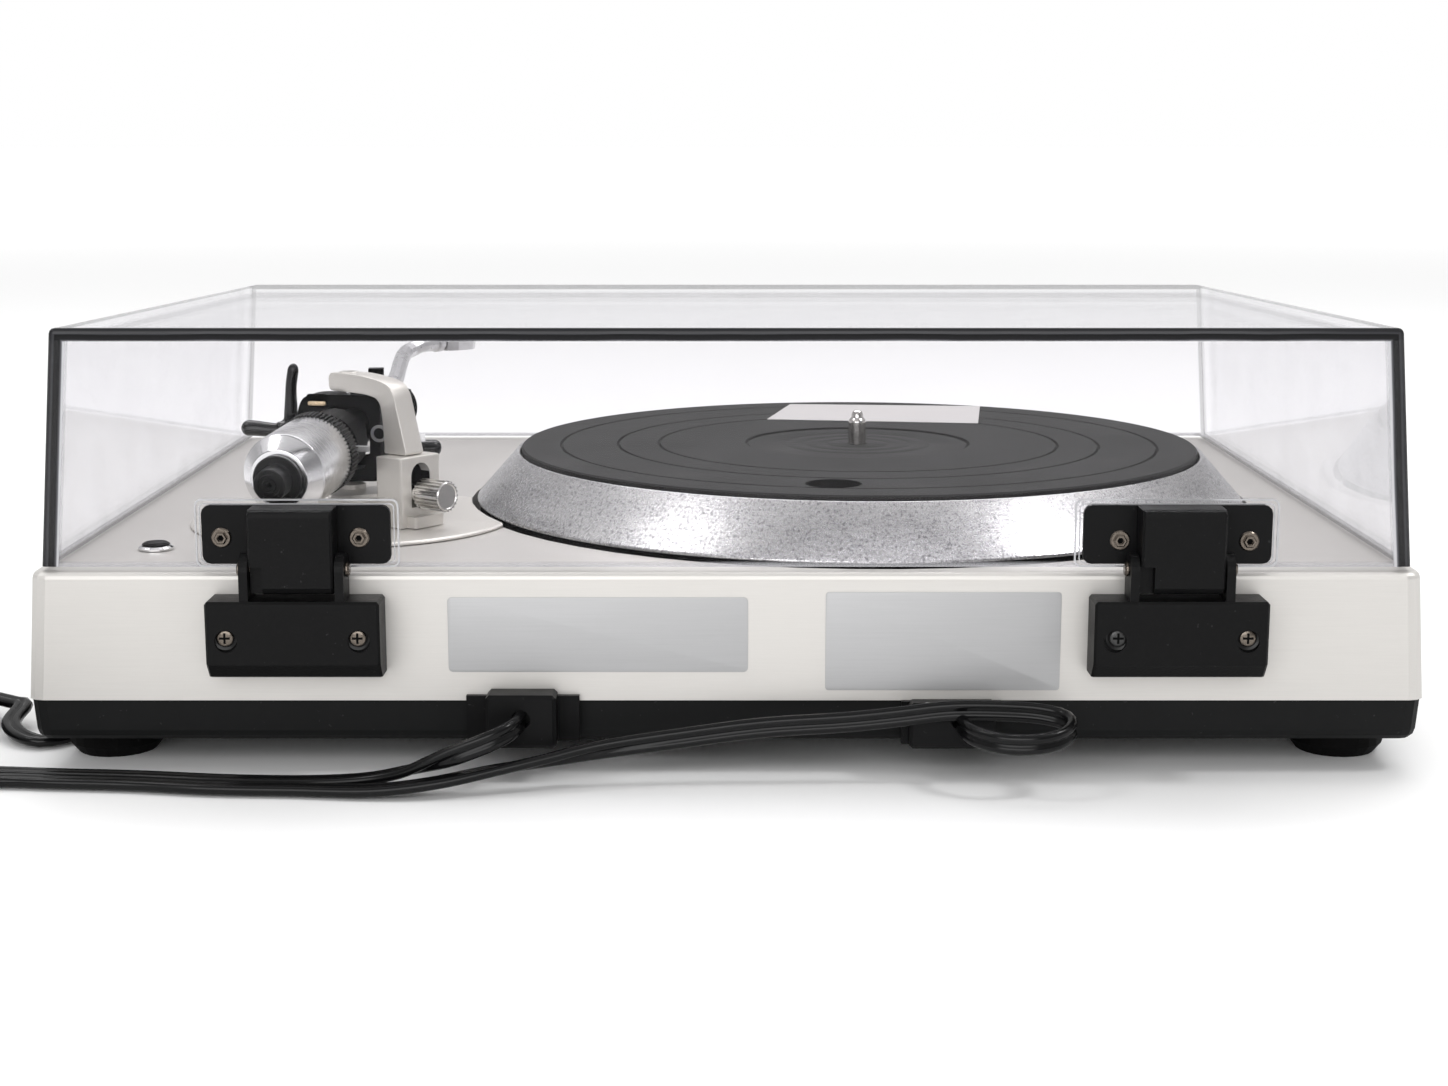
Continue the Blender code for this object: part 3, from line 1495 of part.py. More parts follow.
def make_rail(base, arc_bottom, post_place):
    """The curved rail that lifts the arm, and its post."""
    outer = lift_arc_radius + lift_arc_width / 2
    inner = lift_arc_radius - lift_arc_width / 2
    quarter = math.pi / 2
    start = -quarter - lift_arc_start + lift_arc_width / outer
    end = -quarter - lift_arc_start - lift_arc_sweep
    outline = arc((0, 0), outer, start, end, 18) + arc((0, 0), inner, end, start, 18)
    place = Matrix.Translation(base + Vector((0, 0, arc_bottom + lift_arc_height / 2)))
    rail = plate("arm_lift", outline, lift_arc_height, bright_metal(), place)
    low = arc_bottom - lift_post_length
    post = drum("rail_post", lift_post_radius, low, arc_bottom + lift_arc_height / 2, None, post_place, 16)
    combine(rail, post, "UNION")


def make_cue_lever(base, house):
    """The cueing lever, cranked up beside the gimbal, and its hole in the housing."""
    face = lift_house_x + lift_house_width / 2
    hub_place = Matrix.Translation(base + Vector((face, -cue_pivot_y, cue_pivot_height))) @ upright((1, 0, 0))
    hole = drum("cue_hole", cue_stem_radius + bore_gap, -overrun, overrun, None, hub_place, 12)
    combine(house, hole)
    lever = drum("cue_lever", cue_hub_radius, seat_gap, seat_gap + cue_hub_length, black_plastic(), hub_place, 20)
    stem = drum("cue_stem", cue_stem_radius, -overrun + seat_gap, cue_hub_length / 2, None, hub_place, 12)
    combine(lever, stem, "UNION")
    origin = base + Vector((face + cue_blade_radius + 2 * seat_gap, -cue_pivot_y, cue_pivot_height))
    blade = [
        (0, 0, 0),
        (0, 0, cue_blade_bend * 0.5),
        (-cue_blade_inset * 0.04, 0, cue_blade_bend * 0.82),
        (-cue_blade_inset * 0.45, 0, cue_blade_bend * 1.12),
        (-cue_blade_inset * 0.9, 0, cue_blade_bend * 1.36),
        (-cue_blade_inset, 0, cue_blade_top * 0.6),
        (-cue_blade_inset * 0.92, 0, cue_blade_top),
    ]
    route = smooth_route(blade, cue_blade_radius)
    combine(
        lever,
        tube("cue_blade", route, cue_blade_radius, None, Matrix.Translation(origin), 2),
        "UNION",
    )


def make_arm_rest():
    """The arm rest: a post with a cradle whose inner lip is low, so the lifted arm swings off over it."""
    reach = rest_reach
    foot = SWING @ Matrix.Translation((rest_outset, -reach, 0))
    axis_height = pivot_height + reach * math.tan(arm_rise)
    underside = axis_height - tube_radius / math.cos(arm_rise)
    floor = underside - rest_floor_drop
    ground = at(pivot_x, pivot_setback, seat_gap)
    place = Matrix.Translation((foot.translation.x, foot.translation.y, ground.z))
    place = place @ Matrix.Rotation(rest_turn - arm_rest_angle, 4, "Z")
    profile = [
        (0, floor - seat_gap - rest_floor_thickness / 2),
        (rest_post_radius, floor - seat_gap - rest_floor_thickness / 2),
        (rest_post_radius, rest_base_height),
        (rest_base_radius * 0.9, rest_base_height),
        (rest_base_radius, rest_base_height * 0.7),
        (rest_base_radius, 0),
        (0, 0),
    ]
    rest = smooth(lathe("arm_rest", profile, black_plastic(), place, 28))
    inner = tube_radius + rest_side_gap
    outer = inner + rest_cheek
    low = floor - seat_gap - rest_floor_thickness
    lip = underside - rest_lip_drop - seat_gap
    prong = axis_height + rest_prong_height - seat_gap
    far = inner + rest_outer_cheek
    outline = [
        (-outer, low),
        (outer, low),
        (outer, prong - rest_outer_cheek / 2),
        (far, prong - rest_outer_cheek / 2),
        (far, prong),
        (inner, prong),
        (inner, floor - seat_gap),
        (-inner, floor - seat_gap),
        (-inner, lip),
        (-outer, lip),
    ]
    cradle = plate("cradle_joint", outline, rest_depth)
    cradle.matrix_world = place @ side_profile()
    combine(rest, cradle, "UNION")


def make_socket():
    """The deck's socket for a spare headshell."""
    place = Matrix.Translation(at(socket_x, socket_setback, 0))
    outer = socket_radius - bore_gap
    profile = [
        (0, -socket_bore_depth * 0.8),
        (socket_bore_radius, -socket_bore_depth * 0.8),
        (socket_bore_radius, socket_height),
        (socket_radius, socket_height),
        (socket_radius + socket_flange, socket_height * 0.6),
        (socket_radius + socket_flange, seat_gap),
        (outer, seat_gap),
        (outer, -socket_bore_depth),
        (0, -socket_bore_depth),
    ]
    lathe("headshell_socket", profile, bright_metal(), place, 22)
    bore = socket_bore_radius - bore_gap
    cap = [
        (0, socket_height + socket_cap_height),
        (socket_cap_radius * 0.8, socket_height + socket_cap_height),
        (socket_cap_radius, socket_height + socket_cap_height * 0.5),
        (socket_cap_radius, socket_height + seat_gap),
        (bore, socket_height + seat_gap),
        (bore, -socket_bore_depth * 0.8 + seat_gap),
        (0, -socket_bore_depth * 0.8 + seat_gap),
    ]
    lathe("socket_cap", cap, black_plastic(), place, 22)


def make_clamp(name, x, widths, heights, depth, exit_x, exit_height):
    """A cord clamp on the tray's rear wall: a foot under the cabinet's edge, a plate, a body and a gland."""
    width, plate_width = widths
    bottom, plate_top, top = heights
    inner = -tray_inset + seat_gap
    foot_size = (width - 2 * clamp_corner, clamp_plate_thickness - inner, tray_top - 2 * seat_gap - bottom)
    foot_y = rear_y + (inner + clamp_plate_thickness) / 2
    clamp = block(name, foot_size, black_plastic(), Matrix.Translation((x, foot_y, bottom)))
    plate_size = (plate_width, clamp_plate_thickness, plate_top - bottom)
    plate_y = rear_y + seat_gap + clamp_plate_thickness / 2
    joint = block("clamp_plate", plate_size, None, Matrix.Translation((x, plate_y, bottom)))
    combine(clamp, joint, "UNION")
    body_size = (width, depth - seat_gap, top - bottom)
    body_y = rear_y + (seat_gap + depth) / 2
    body = block("clamp_body", body_size, None, Matrix.Translation((x, body_y, bottom - clamp_body_drop)))
    soften(body, clamp_corner, 1)
    combine(clamp, body, "UNION")
    hole = drum("clamp_gland", gland_radius, -gland_depth, overrun, None, None, 16)
    hole.matrix_world = Matrix.Translation((exit_x, rear_y + depth, exit_height)) @ lying_along_y()
    combine(clamp, hole)


def make_clamps():
    """The phono lead's clamp and the mains lead's clip."""
    make_clamp(
        "phono_cord_clamp",
        clamp_x,
        (clamp_width, clamp_plate_width),
        (clamp_bottom, clamp_plate_top, clamp_top),
        clamp_depth,
        clamp_x,
        clamp_exit_height,
    )
    make_clamp(
        "mains_cord_clip",
        clip_x,
        (clip_width - 4 * clamp_corner, clip_width),
        (clip_bottom, clip_plate_top, clip_top),
        clip_depth,
        clip_exit_x,
        clip_exit_height,
    )


def coil_points(centre, radius, turns, start_turn, sense):
    """Loops that spiral in on the floor, climb one layer and spiral out again on top."""
    count = round(turns * coil_points_per_turn)
    half = turns / 2
    points = []
    for index in range(count + 1):
        turn = index / coil_points_per_turn
        inward = turn if turn < half else turns - turn
        climb = min(1, max(0, (turn - half + 0.25) / 0.5))
        reach = radius - coil_pitch * inward
        angle = math.radians(start_turn) + sense * 2 * math.pi * turn
        height = ground + coil_layer * climb
        points.append(Vector((centre[0] + reach * math.cos(angle), centre[1] + reach * math.sin(angle), height)))
    first = (points[0] - points[1]).normalized()
    last = (points[-1] - points[-2]).normalized()
    return [points[0] + 2 * cord_radius * first, *points, points[-1] + 2 * cord_radius * last]


def least_gap(points, radius, apart):
    """The least gap between a tube's own turns, measured on its points."""
    least = 1.0
    for index, point in enumerate(points):
        for other in points[index + apart :]:
            least = min(least, (Vector(point) - Vector(other)).length - 2 * radius)
    return least


def lead_in(route, points):
    """A smooth run through a route that ends straight, one seat gap short of another line's start."""
    back = (points[0] - points[1]).normalized()
    near = points[0] + cord_step * back
    return [*smooth_route([*route, near + cord_step / 2 * back, near], cord_step), points[0] + seat_gap * back]


def lead_out(points, route):
    """A smooth run through a route that starts straight, one seat gap past another line's end."""
    on = (points[-1] - points[-2]).normalized()
    near = points[-1] + cord_step * on
    return [points[-1] + seat_gap * on, *smooth_route([near, near + cord_step / 2 * on, *route], cord_step)]


ground = cord_radius + cord_clearance
cord_step = 2.4 * 2 * cord_radius

# The phono lead leaves the clamp, drops to the floor and runs left along the rear
PHONO_ROUTE = [
    (0.0695, 0.1890, 0.0222),
    (0.0698, 0.1960, 0.0220),
    (0.0725, 0.2022, 0.0209),
    (0.0792, 0.2062, 0.0184),
    (0.0885, 0.2068, 0.0148),
    (0.0985, 0.2050, 0.0108),
    (0.1100, 0.2022, 0.0066),
    (0.1230, 0.2000, 0.0038),
    (0.1435, 0.1988, 0.0026),
    (0.1710, 0.1972, 0.0026),
    (0.1990, 0.1930, 0.0026),
    (0.2260, 0.1906, 0.0026),
    (0.2450, 0.1884, 0.0026),
    (0.2680, 0.1862, 0.0026),
    (0.2880, 0.1852, 0.0026),
]

# The mains lead makes its loop at the clip and joins the phono lead on the floor
MAINS_ROUTE = [
    (-0.0796, 0.1850, 0.0209),
    (-0.0797, 0.1930, 0.0207),
    (-0.0812, 0.2000, 0.0200),
    (-0.0860, 0.2065, 0.0192),
    (-0.0940, 0.2105, 0.0188),
    (-0.1040, 0.2105, 0.0190),
    (-0.1120, 0.2068, 0.0202),
    (-0.1157, 0.2005, 0.0220),
    (-0.1135, 0.1945, 0.0240),
    (-0.1060, 0.1914, 0.0257),
    (-0.0950, 0.1910, 0.0266),
    (-0.0820, 0.1911, 0.0271),
    (-0.0721, 0.1912, 0.0265),
    (-0.0593, 0.1914, 0.0244),
    (-0.0400, 0.1918, 0.0222),
    (-0.0114, 0.1925, 0.0196),
    (0.0180, 0.1938, 0.0160),
    (0.0427, 0.1962, 0.0130),
    (0.0600, 0.1996, 0.0104),
    (0.0780, 0.2040, 0.0080),
    (0.0980, 0.2088, 0.0050),
    (0.1180, 0.2096, 0.0030),
    (0.1435, 0.2070, 0.0026),
    (0.1710, 0.2054, 0.0026),
    (0.1990, 0.2008, 0.0026),
    (0.2260, 0.1984, 0.0026),
    (0.2450, 0.1966, 0.0026),
    (0.2580, 0.1996, 0.0026),
    (0.2700, 0.2072, 0.0026),
]

# The phono lead's far end comes back beside the left rear foot
PHONO_TAIL = [
    (0.2612, 0.1330, 0.0054),
    (0.2535, 0.1448, 0.0036),
    (0.2450, 0.1480, 0.0026),
    (0.2392, 0.1425, 0.0026),
    (0.2350, 0.1320, 0.0026),
    (0.2290, 0.1220, 0.0026),
]
PHONO_SPLIT = (0.2200, 0.1130, 0.0026)
PLUG_HEADING = math.radians(222)
MAINS_TAIL = [(0.3450, 0.2440, 0.0058), (0.3560, 0.2490, 0.0066)]
MAINS_PLUG = (0.3640, 0.2510, 0.0003)
MAINS_PLUG_HEADING = math.radians(12)


def make_cords():
    """The two leads, their put-away coils and their plugs."""
    phono_coil = coil_points(phono_coil_centre, phono_coil_radius, phono_coil_turns, 90, -1)
    mains_coil = coil_points(mains_coil_centre, mains_coil_radius, mains_coil_turns, 270, 1)
    phono = lead_in(PHONO_ROUTE, phono_coil)
    mains = lead_in(MAINS_ROUTE, mains_coil)
    tube("phono_cord", phono, cord_radius, cord_vinyl())
    tube("mains_cord", mains, cord_radius, cord_vinyl())
    tube("phono_cord_coil", phono_coil, cord_radius, cord_vinyl(), resolution=1)
    mains_end = mains_coil + mains_tail_points(mains_coil[-1])
    tube("mains_cord_coil", mains_end, cord_radius, cord_vinyl(), resolution=1)
    for name, points in (("phono coil", phono_coil), ("mains coil", mains_coil)):
        gap = least_gap(points, cord_radius, coil_points_per_turn // 2)
        print(f"{name}: least gap to itself {gap * 1000:.2f} mm, length {route_length(points):.3f} m")
    print(f"phono run {route_length(phono):.3f} m, mains run {route_length(mains):.3f} m")
    make_phono_plugs(lead_out(phono_coil, [*PHONO_TAIL, PHONO_SPLIT]))
    make_mains_plug()


def make_phono_plugs(points):
    """The phono lead's tail, its split and its two pin plugs."""
    tail = tube("phono_cord_tail", points, cord_radius, cord_vinyl())
    split = Vector(PHONO_SPLIT)
    heading = Matrix.Rotation(PLUG_HEADING, 4, "Z")
    for name, side in (("phono_plug_1", 1), ("phono_plug_2", -1)):
        offset = Vector((plug_lead_length, side * (phono_plug_radius + cord_clearance * 4), 0))
        end = split + heading @ offset
        lift = Vector((0, 0, phono_plug_radius + cord_clearance - ground))
        middle = split + heading @ Vector((plug_lead_length * 0.4, offset.y * 0.75, lift.z * 0.6))
        near = end + lift - heading @ Vector((plug_lead_length * 0.2, 0, 0))
        back = split - heading @ Vector((2 * cord_radius, 0, 0))
        lead = smooth_route([back, middle, near, end + lift], plug_lead_radius * 2)
        combine(tail, tube("lead_joint", lead, plug_lead_radius, None, None, 2), "UNION")
        profile = [
            (0, phono_plug_length + phono_pin_length),
            (phono_pin_radius, phono_plug_length + phono_pin_length),
            (phono_pin_radius, phono_plug_length),
            (phono_plug_radius, phono_plug_length),
            (phono_plug_radius, phono_plug_length * 0.45),
            (phono_plug_neck, 0),
            (0, 0),
        ]
        place = Matrix.Translation(end + lift + heading @ Vector((seat_gap, 0, 0)))
        lathe(name, profile, bright_metal(), place @ heading @ upright((1, 0, 0)), 20)


def mains_plug_place():
    """The frame of the plug's lead end, with X towards its pins."""
    return Matrix.Translation(MAINS_PLUG) @ Matrix.Rotation(MAINS_PLUG_HEADING, 4, "Z")


def mains_tail_points(start):
    """The lead from the coil's end to the plug."""
    place = mains_plug_place()
    entry = place @ Vector((-seat_gap, 0, mains_plug_height / 2))
    near = place @ Vector((-cord_step, 0, mains_plug_height / 2))
    return smooth_route([start, *MAINS_TAIL, near, entry], cord_step)[1:]


def make_mains_plug():
    """The mains lead's two-pin plug."""
    place = mains_plug_place()
    middle = place @ Matrix.Translation((mains_plug_length / 2, 0, 0))
    size = (mains_plug_length, mains_plug_width, mains_plug_height)
    plug = block("mains_plug", size, black_plastic(), middle, corner=2 * mains_plug_edge, top=mains_plug_edge)
    for side in (-1, 1):
        pin = drum("pin_joint", plug_pin_radius, -plug_pin_length / 2, plug_pin_length, None, None, 12)
        spot = (mains_plug_length, side * plug_pin_spread / 2, mains_plug_height / 2)
        pin.matrix_world = place @ Matrix.Translation(spot) @ upright((1, 0, 0))
        combine(plug, pin, "UNION")


def main():
    clear_scene()
    make_cabinet()
    make_controls()
    make_tray()
    make_feet()
    make_cover()
    make_hinge("left", left_hinge_x)
    make_hinge("right", right_hinge_x)
    make_platter()
    make_motor()
    make_inside()
    make_arm_base()
    make_yoke()
    make_gimbal()
    make_arm_hub()
    make_arm_tube()
    make_counterweight()
    make_arm_controls()
    make_arm_rest()
    make_socket()
    make_clamps()
    make_cords()


main()
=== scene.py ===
"""Looks for the automatic turntable seen from behind with its dust cover closed."""

from math import copysign, cos, pi, radians, sin, sqrt

import bmesh
import bpy
from mathutils import Matrix, Vector

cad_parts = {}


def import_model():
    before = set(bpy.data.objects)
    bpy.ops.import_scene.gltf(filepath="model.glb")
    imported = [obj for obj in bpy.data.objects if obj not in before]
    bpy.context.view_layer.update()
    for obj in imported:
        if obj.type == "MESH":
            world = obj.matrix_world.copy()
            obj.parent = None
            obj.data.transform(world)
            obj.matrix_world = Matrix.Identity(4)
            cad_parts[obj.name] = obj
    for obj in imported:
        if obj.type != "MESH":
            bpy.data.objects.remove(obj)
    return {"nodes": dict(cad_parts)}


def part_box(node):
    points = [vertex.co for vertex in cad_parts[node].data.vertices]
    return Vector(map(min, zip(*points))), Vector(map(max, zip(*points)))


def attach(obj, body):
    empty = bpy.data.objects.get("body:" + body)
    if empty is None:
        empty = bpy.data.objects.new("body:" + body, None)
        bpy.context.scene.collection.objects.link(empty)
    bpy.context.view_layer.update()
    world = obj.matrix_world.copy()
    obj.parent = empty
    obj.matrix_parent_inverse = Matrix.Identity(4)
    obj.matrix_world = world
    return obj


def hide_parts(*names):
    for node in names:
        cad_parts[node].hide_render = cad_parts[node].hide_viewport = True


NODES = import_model()["nodes"]
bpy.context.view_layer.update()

# Where the turntable stands, as in the CAD: its rear face, its deck, and the gap between pieces
rear_y = 0.1801
deck_z = 0.0704
seat = 0.0003

# The arm, as in the CAD: its pivot, the base's level, and its turns at rest in degrees
pivot_x = 0.1435
pivot_depth = 0.104
pivot_height = 0.035
base_level = 0.002
arm_turn = 9.2
arm_rise = 5.1
yoke_turn = 143.1


def at(x, depth, height):
    """A point by its depth from the rear face to the front, and its height over the deck."""
    return Vector((x, rear_y - depth, deck_z + height))


def offset(x, y, z):
    return Matrix.Translation((x, y, z))


def rotation(degrees, axis="Z"):
    return Matrix.Rotation(radians(degrees), 4, axis)


def upright(axis):
    """Turns the local Z axis to an axis."""
    return Vector((0, 0, 1)).rotation_difference(Vector(axis)).to_matrix().to_4x4()


PLATTER = offset(*at(-0.0536, 0.1645, 0))
SWING = offset(*at(pivot_x, pivot_depth, pivot_height)) @ rotation(-arm_turn)
ARM = SWING @ rotation(-arm_rise, "X")
ARM_BACK = ARM @ upright((0, 1, 0))
YOKE = offset(*at(pivot_x, pivot_depth, base_level)) @ rotation(yoke_turn)
FACE = rotation(180) @ rotation(90, "X")


# Materials


def feed(socket, value):
    """Links an output to a socket, or sets the socket's own value."""
    if isinstance(value, bpy.types.NodeSocket):
        socket.id_data.links.new(value, socket)
    else:
        socket.default_value = value


def add_node(tree, kind, inputs, **settings):
    """Adds a node with its settings, and feeds its inputs."""
    made = tree.nodes.new("ShaderNode" + kind)
    for key, value in settings.items():
        setattr(made, key, value)
    for key, value in inputs.items():
        feed(made.inputs[key], value)
    return made


class Shader:
    """A Principled material with short calls for the nodes that feed it."""

    def __init__(self, name, colour, roughness, metallic=0.0, **values):
        self.material = bpy.data.materials.new(name)
        self.material.use_nodes = True
        self.tree = self.material.node_tree
        self.surface = self.tree.nodes["Principled BSDF"]
        self.set("Base Color", (*colour, 1.0))
        self.set("Roughness", roughness)
        self.set("Metallic", metallic)
        for key, value in values.items():
            self.set(key.replace("_", " "), value)
        self.place = self.node("TexCoord", {}).outputs["Object"]

    def set(self, name, value):
        feed(self.surface.inputs[name], value)

    def node(self, kind, inputs, **settings):
        return add_node(self.tree, kind, inputs, **settings)

    def math(self, operation, *values):
        return self.node("Math", dict(enumerate(values)), operation=operation).outputs[0]

    def spread(self, value, low, high, new_low=0.0, new_high=1.0):
        """Maps one range of a value to another, held at its ends."""
        inputs = dict(enumerate((value, low, high, new_low, new_high)))
        return self.node("MapRange", inputs, clamp=True).outputs["Result"]

    def scaled(self, scale):
        return self.node("Mapping", {"Scale": scale, "Vector": self.place}).outputs["Vector"]

    def noise(self, scale, detail=3.0, source=None, rough=0.55):
        inputs = {"Scale": scale, "Detail": detail, "Roughness": rough}
        inputs["Vector"] = source or self.place
        return self.node("TexNoise", inputs).outputs["Fac"]

    def turned(self, around, along):
        """Coordinates that run round the local Z axis, so noise draws turning marks."""
        x, y, z = self.node("SeparateXYZ", {0: self.place}).outputs
        angle = self.math("ARCTAN2", y, x)
        square = self.math("ADD", self.math("POWER", x, 2.0), self.math("POWER", y, 2.0))
        pairs = ((angle, around), (self.math("SQRT", square), along), (z, along))
        inputs = {index: self.math("MULTIPLY", *pair) for index, pair in enumerate(pairs)}
        return self.node("CombineXYZ", inputs).outputs[0]

    def bump(self, height, strength, distance):
        """Adds a bump over those that are there."""
        made = self.node("Bump", {"Strength": strength, "Distance": distance, "Height": height})
        normal = self.surface.inputs["Normal"]
        if normal.links:
            feed(made.inputs["Normal"], normal.links[0].from_socket)
        feed(normal, made.outputs[0])

    def tint(self, factor, colour):
        """Mixes a second colour in by a factor."""
        base = self.surface.inputs["Base Color"]
        first = base.links[0].from_socket if base.links else base.default_value[:]
        inputs = {0: factor, 6: first, 7: (*colour, 1.0)}
        feed(base, self.node("Mix", inputs, data_type="RGBA").outputs[2])

    def brushed(self):
        """Stretches the highlights round the local Z axis."""
        tangent = self.node("Tangent", {}, direction_type="RADIAL", axis="Z")
        self.set("Tangent", tangent.outputs[0])

    def gloss(self, factor, low, high):
        """Spreads a 0 to 1 factor over a range of roughness."""
        self.set("Roughness", self.spread(factor, 0.25, 0.75, low, high))


def silver_paint():
    """Metallic paint with fine flake and a very faint orange peel."""
    colour = (0.735, 0.71, 0.665)
    made = Shader("champagne_silver", colour, 0.40, 0.42, Coat_Weight=0.10, Coat_Roughness=0.22)
    flake = made.noise(2600, 3)
    made.tint(made.spread(flake, 0.42, 0.72, 0.0, 0.55), tuple(0.78 * v for v in colour))
    made.gloss(made.noise(42, 4), 0.33, 0.41)
    made.bump(flake, 0.10, 0.00004)
    made.bump(made.noise(900, 2), 0.06, 0.0001)
    return made.material


def deck_silver():
    """The cabinet: satin metallic paint with a faint drawn grain from side to side."""
    colour = (0.595, 0.577, 0.553)
    made = Shader("cabinet_silver", colour, 0.46, 0.45, Coat_Weight=0.06, Coat_Roughness=0.25)
    grain = made.noise(1, 3, made.scaled((60, 2600, 2600)))
    made.tint(made.spread(grain, 0.35, 0.75, 0.0, 0.3), (0.53, 0.515, 0.495))
    made.gloss(made.noise(16, 5), 0.42, 0.52)
    made.bump(grain, 0.08, 0.00006)
    made.bump(made.noise(4200, 2), 0.10, 0.00004)
    return made.material


def moulded_black(
    name,
    colour=(0.0042, 0.0042, 0.0045),
    roughness=0.42,
    grain=1800,
    depth=0.00012,
    strength=0.22,
    specular=0.10,
):
    """Moulded plastic or paint with a fine leathery grain, dust and scuffs."""
    made = Shader(name, colour, roughness, 0.0, Specular_IOR_Level=specular)
    fine = made.noise(grain, 3)
    made.bump(fine, strength, depth)
    made.gloss(made.noise(70, 5), roughness - 0.07, roughness + 0.09)
    speck = made.spread(made.noise(620, 2), 0.71, 0.76)
    made.tint(made.math("MULTIPLY", speck, 0.5), (0.04, 0.04, 0.04))
    return made.material


def glossy_black():
    """Smooth black plastic."""
    made = Shader("gloss_black", (0.006, 0.006, 0.007), 0.20, 0.0, Specular_IOR_Level=0.55)
    made.gloss(made.noise(120, 4), 0.12, 0.22)
    made.bump(made.noise(1500, 2), 0.05, 0.00006)
    return made.material


def turned_metal(name, colour, roughness, strength, around=3.0, along=5200, anisotropic=0.55):
    """Lathe-turned metal: marks run round the local Z axis."""
    made = Shader(name, colour, roughness, 1.0, Anisotropic=anisotropic)
    made.brushed()
    marks = made.noise(1, 3, made.turned(around, along))
    made.bump(marks, strength * 0.3, 0.00003)
    made.gloss(marks, roughness * 0.75, roughness * 1.3)
    made.tint(made.spread(marks, 0.4, 0.8, 0.0, strength * 0.6), tuple(0.72 * v for v in colour))
    return made.material


def platter_metal():
    """Cast aluminium, turned: streaks and dark specks drawn out round the rim."""
    made = Shader("platter_aluminium", (0.60, 0.595, 0.60), 0.30, 0.95, Anisotropic=0.35)
    made.brushed()
    streak = made.noise(1, 4, made.turned(26, 1700), 0.7)
    speck = made.noise(1, 3, made.turned(150, 900), 0.65)
    cloud = made.noise(1, 3, made.turned(5, 90))
    made.tint(made.spread(streak, 0.42, 0.66, 0.0, 0.55), (0.34, 0.335, 0.345))
    made.tint(made.spread(speck, 0.52, 0.63, 0.0, 0.9), (0.19, 0.185, 0.195))
    made.tint(made.spread(cloud, 0.45, 0.8, 0.0, 0.3), (0.80, 0.79, 0.78))
    made.gloss(speck, 0.20, 0.38)
    made.bump(streak, 0.22, 0.00006)
    made.bump(speck, 0.18, 0.00005)
    return made.material


def mat_rubber():
    """Black rubber with fine moulded rings and a powdery bloom."""
    made = Shader("mat_rubber", (0.0118, 0.0115, 0.0115), 0.62, 0.0, Specular_IOR_Level=0.35)
    rings = made.noise(1, 2, made.turned(0.4, 1500))
    bloom = made.noise(24, 5)
    made.tint(made.spread(bloom, 0.45, 0.8, 0.0, 0.5), (0.030, 0.029, 0.029))
    made.bump(rings, 0.25, 0.00009)
    made.bump(made.noise(2600, 2), 0.2, 0.00006)
    made.gloss(bloom, 0.56, 0.7)
    return made.material


def cord_vinyl():
    """Soft black vinyl with a satin skin."""
    made = Shader("cord_vinyl", (0.0034, 0.0034, 0.0037), 0.24, 0.0, Specular_IOR_Level=0.22)
    made.gloss(made.noise(190, 4), 0.16, 0.26)
    made.bump(made.noise(2600, 2), 0.06, 0.00005)
    return made.material


def plain_metal(name, colour, roughness, scale=260, metallic=1.0):
    """Plated or cast metal with smudges and a light grain."""
    made = Shader(name, colour, roughness, metallic)
    cloud = made.noise(scale, 4)
    made.gloss(cloud, roughness * 0.7, roughness * 1.4)
    made.tint(made.spread(cloud, 0.45, 0.75, 0.0, 0.4), tuple(0.7 * v for v in colour))
    made.bump(made.noise(scale * 9, 2), 0.12, 0.00005)
    return made.material


def label_foil():
    """Bare anodised foil."""
    made = Shader("label_foil", (0.41, 0.41, 0.415), 0.44, 0.25)
    grain = made.noise(1, 3, made.scaled((40, 2200, 2200)))
    made.tint(made.spread(grain, 0.4, 0.75, 0.0, 0.3), (0.365, 0.365, 0.37))
    made.gloss(grain, 0.38, 0.5)
    made.bump(made.noise(2400, 2), 0.08, 0.00004)
    return made.material


def paper():
    """Plain matt paper."""
    made = Shader("paper", (0.60, 0.58, 0.575), 0.6, 0.0)
    made.bump(made.noise(900, 3), 0.2, 0.0001)
    made.tint(made.spread(made.noise(60, 4), 0.5, 0.8, 0.0, 0.3), (0.54, 0.52, 0.515))
    return made.material


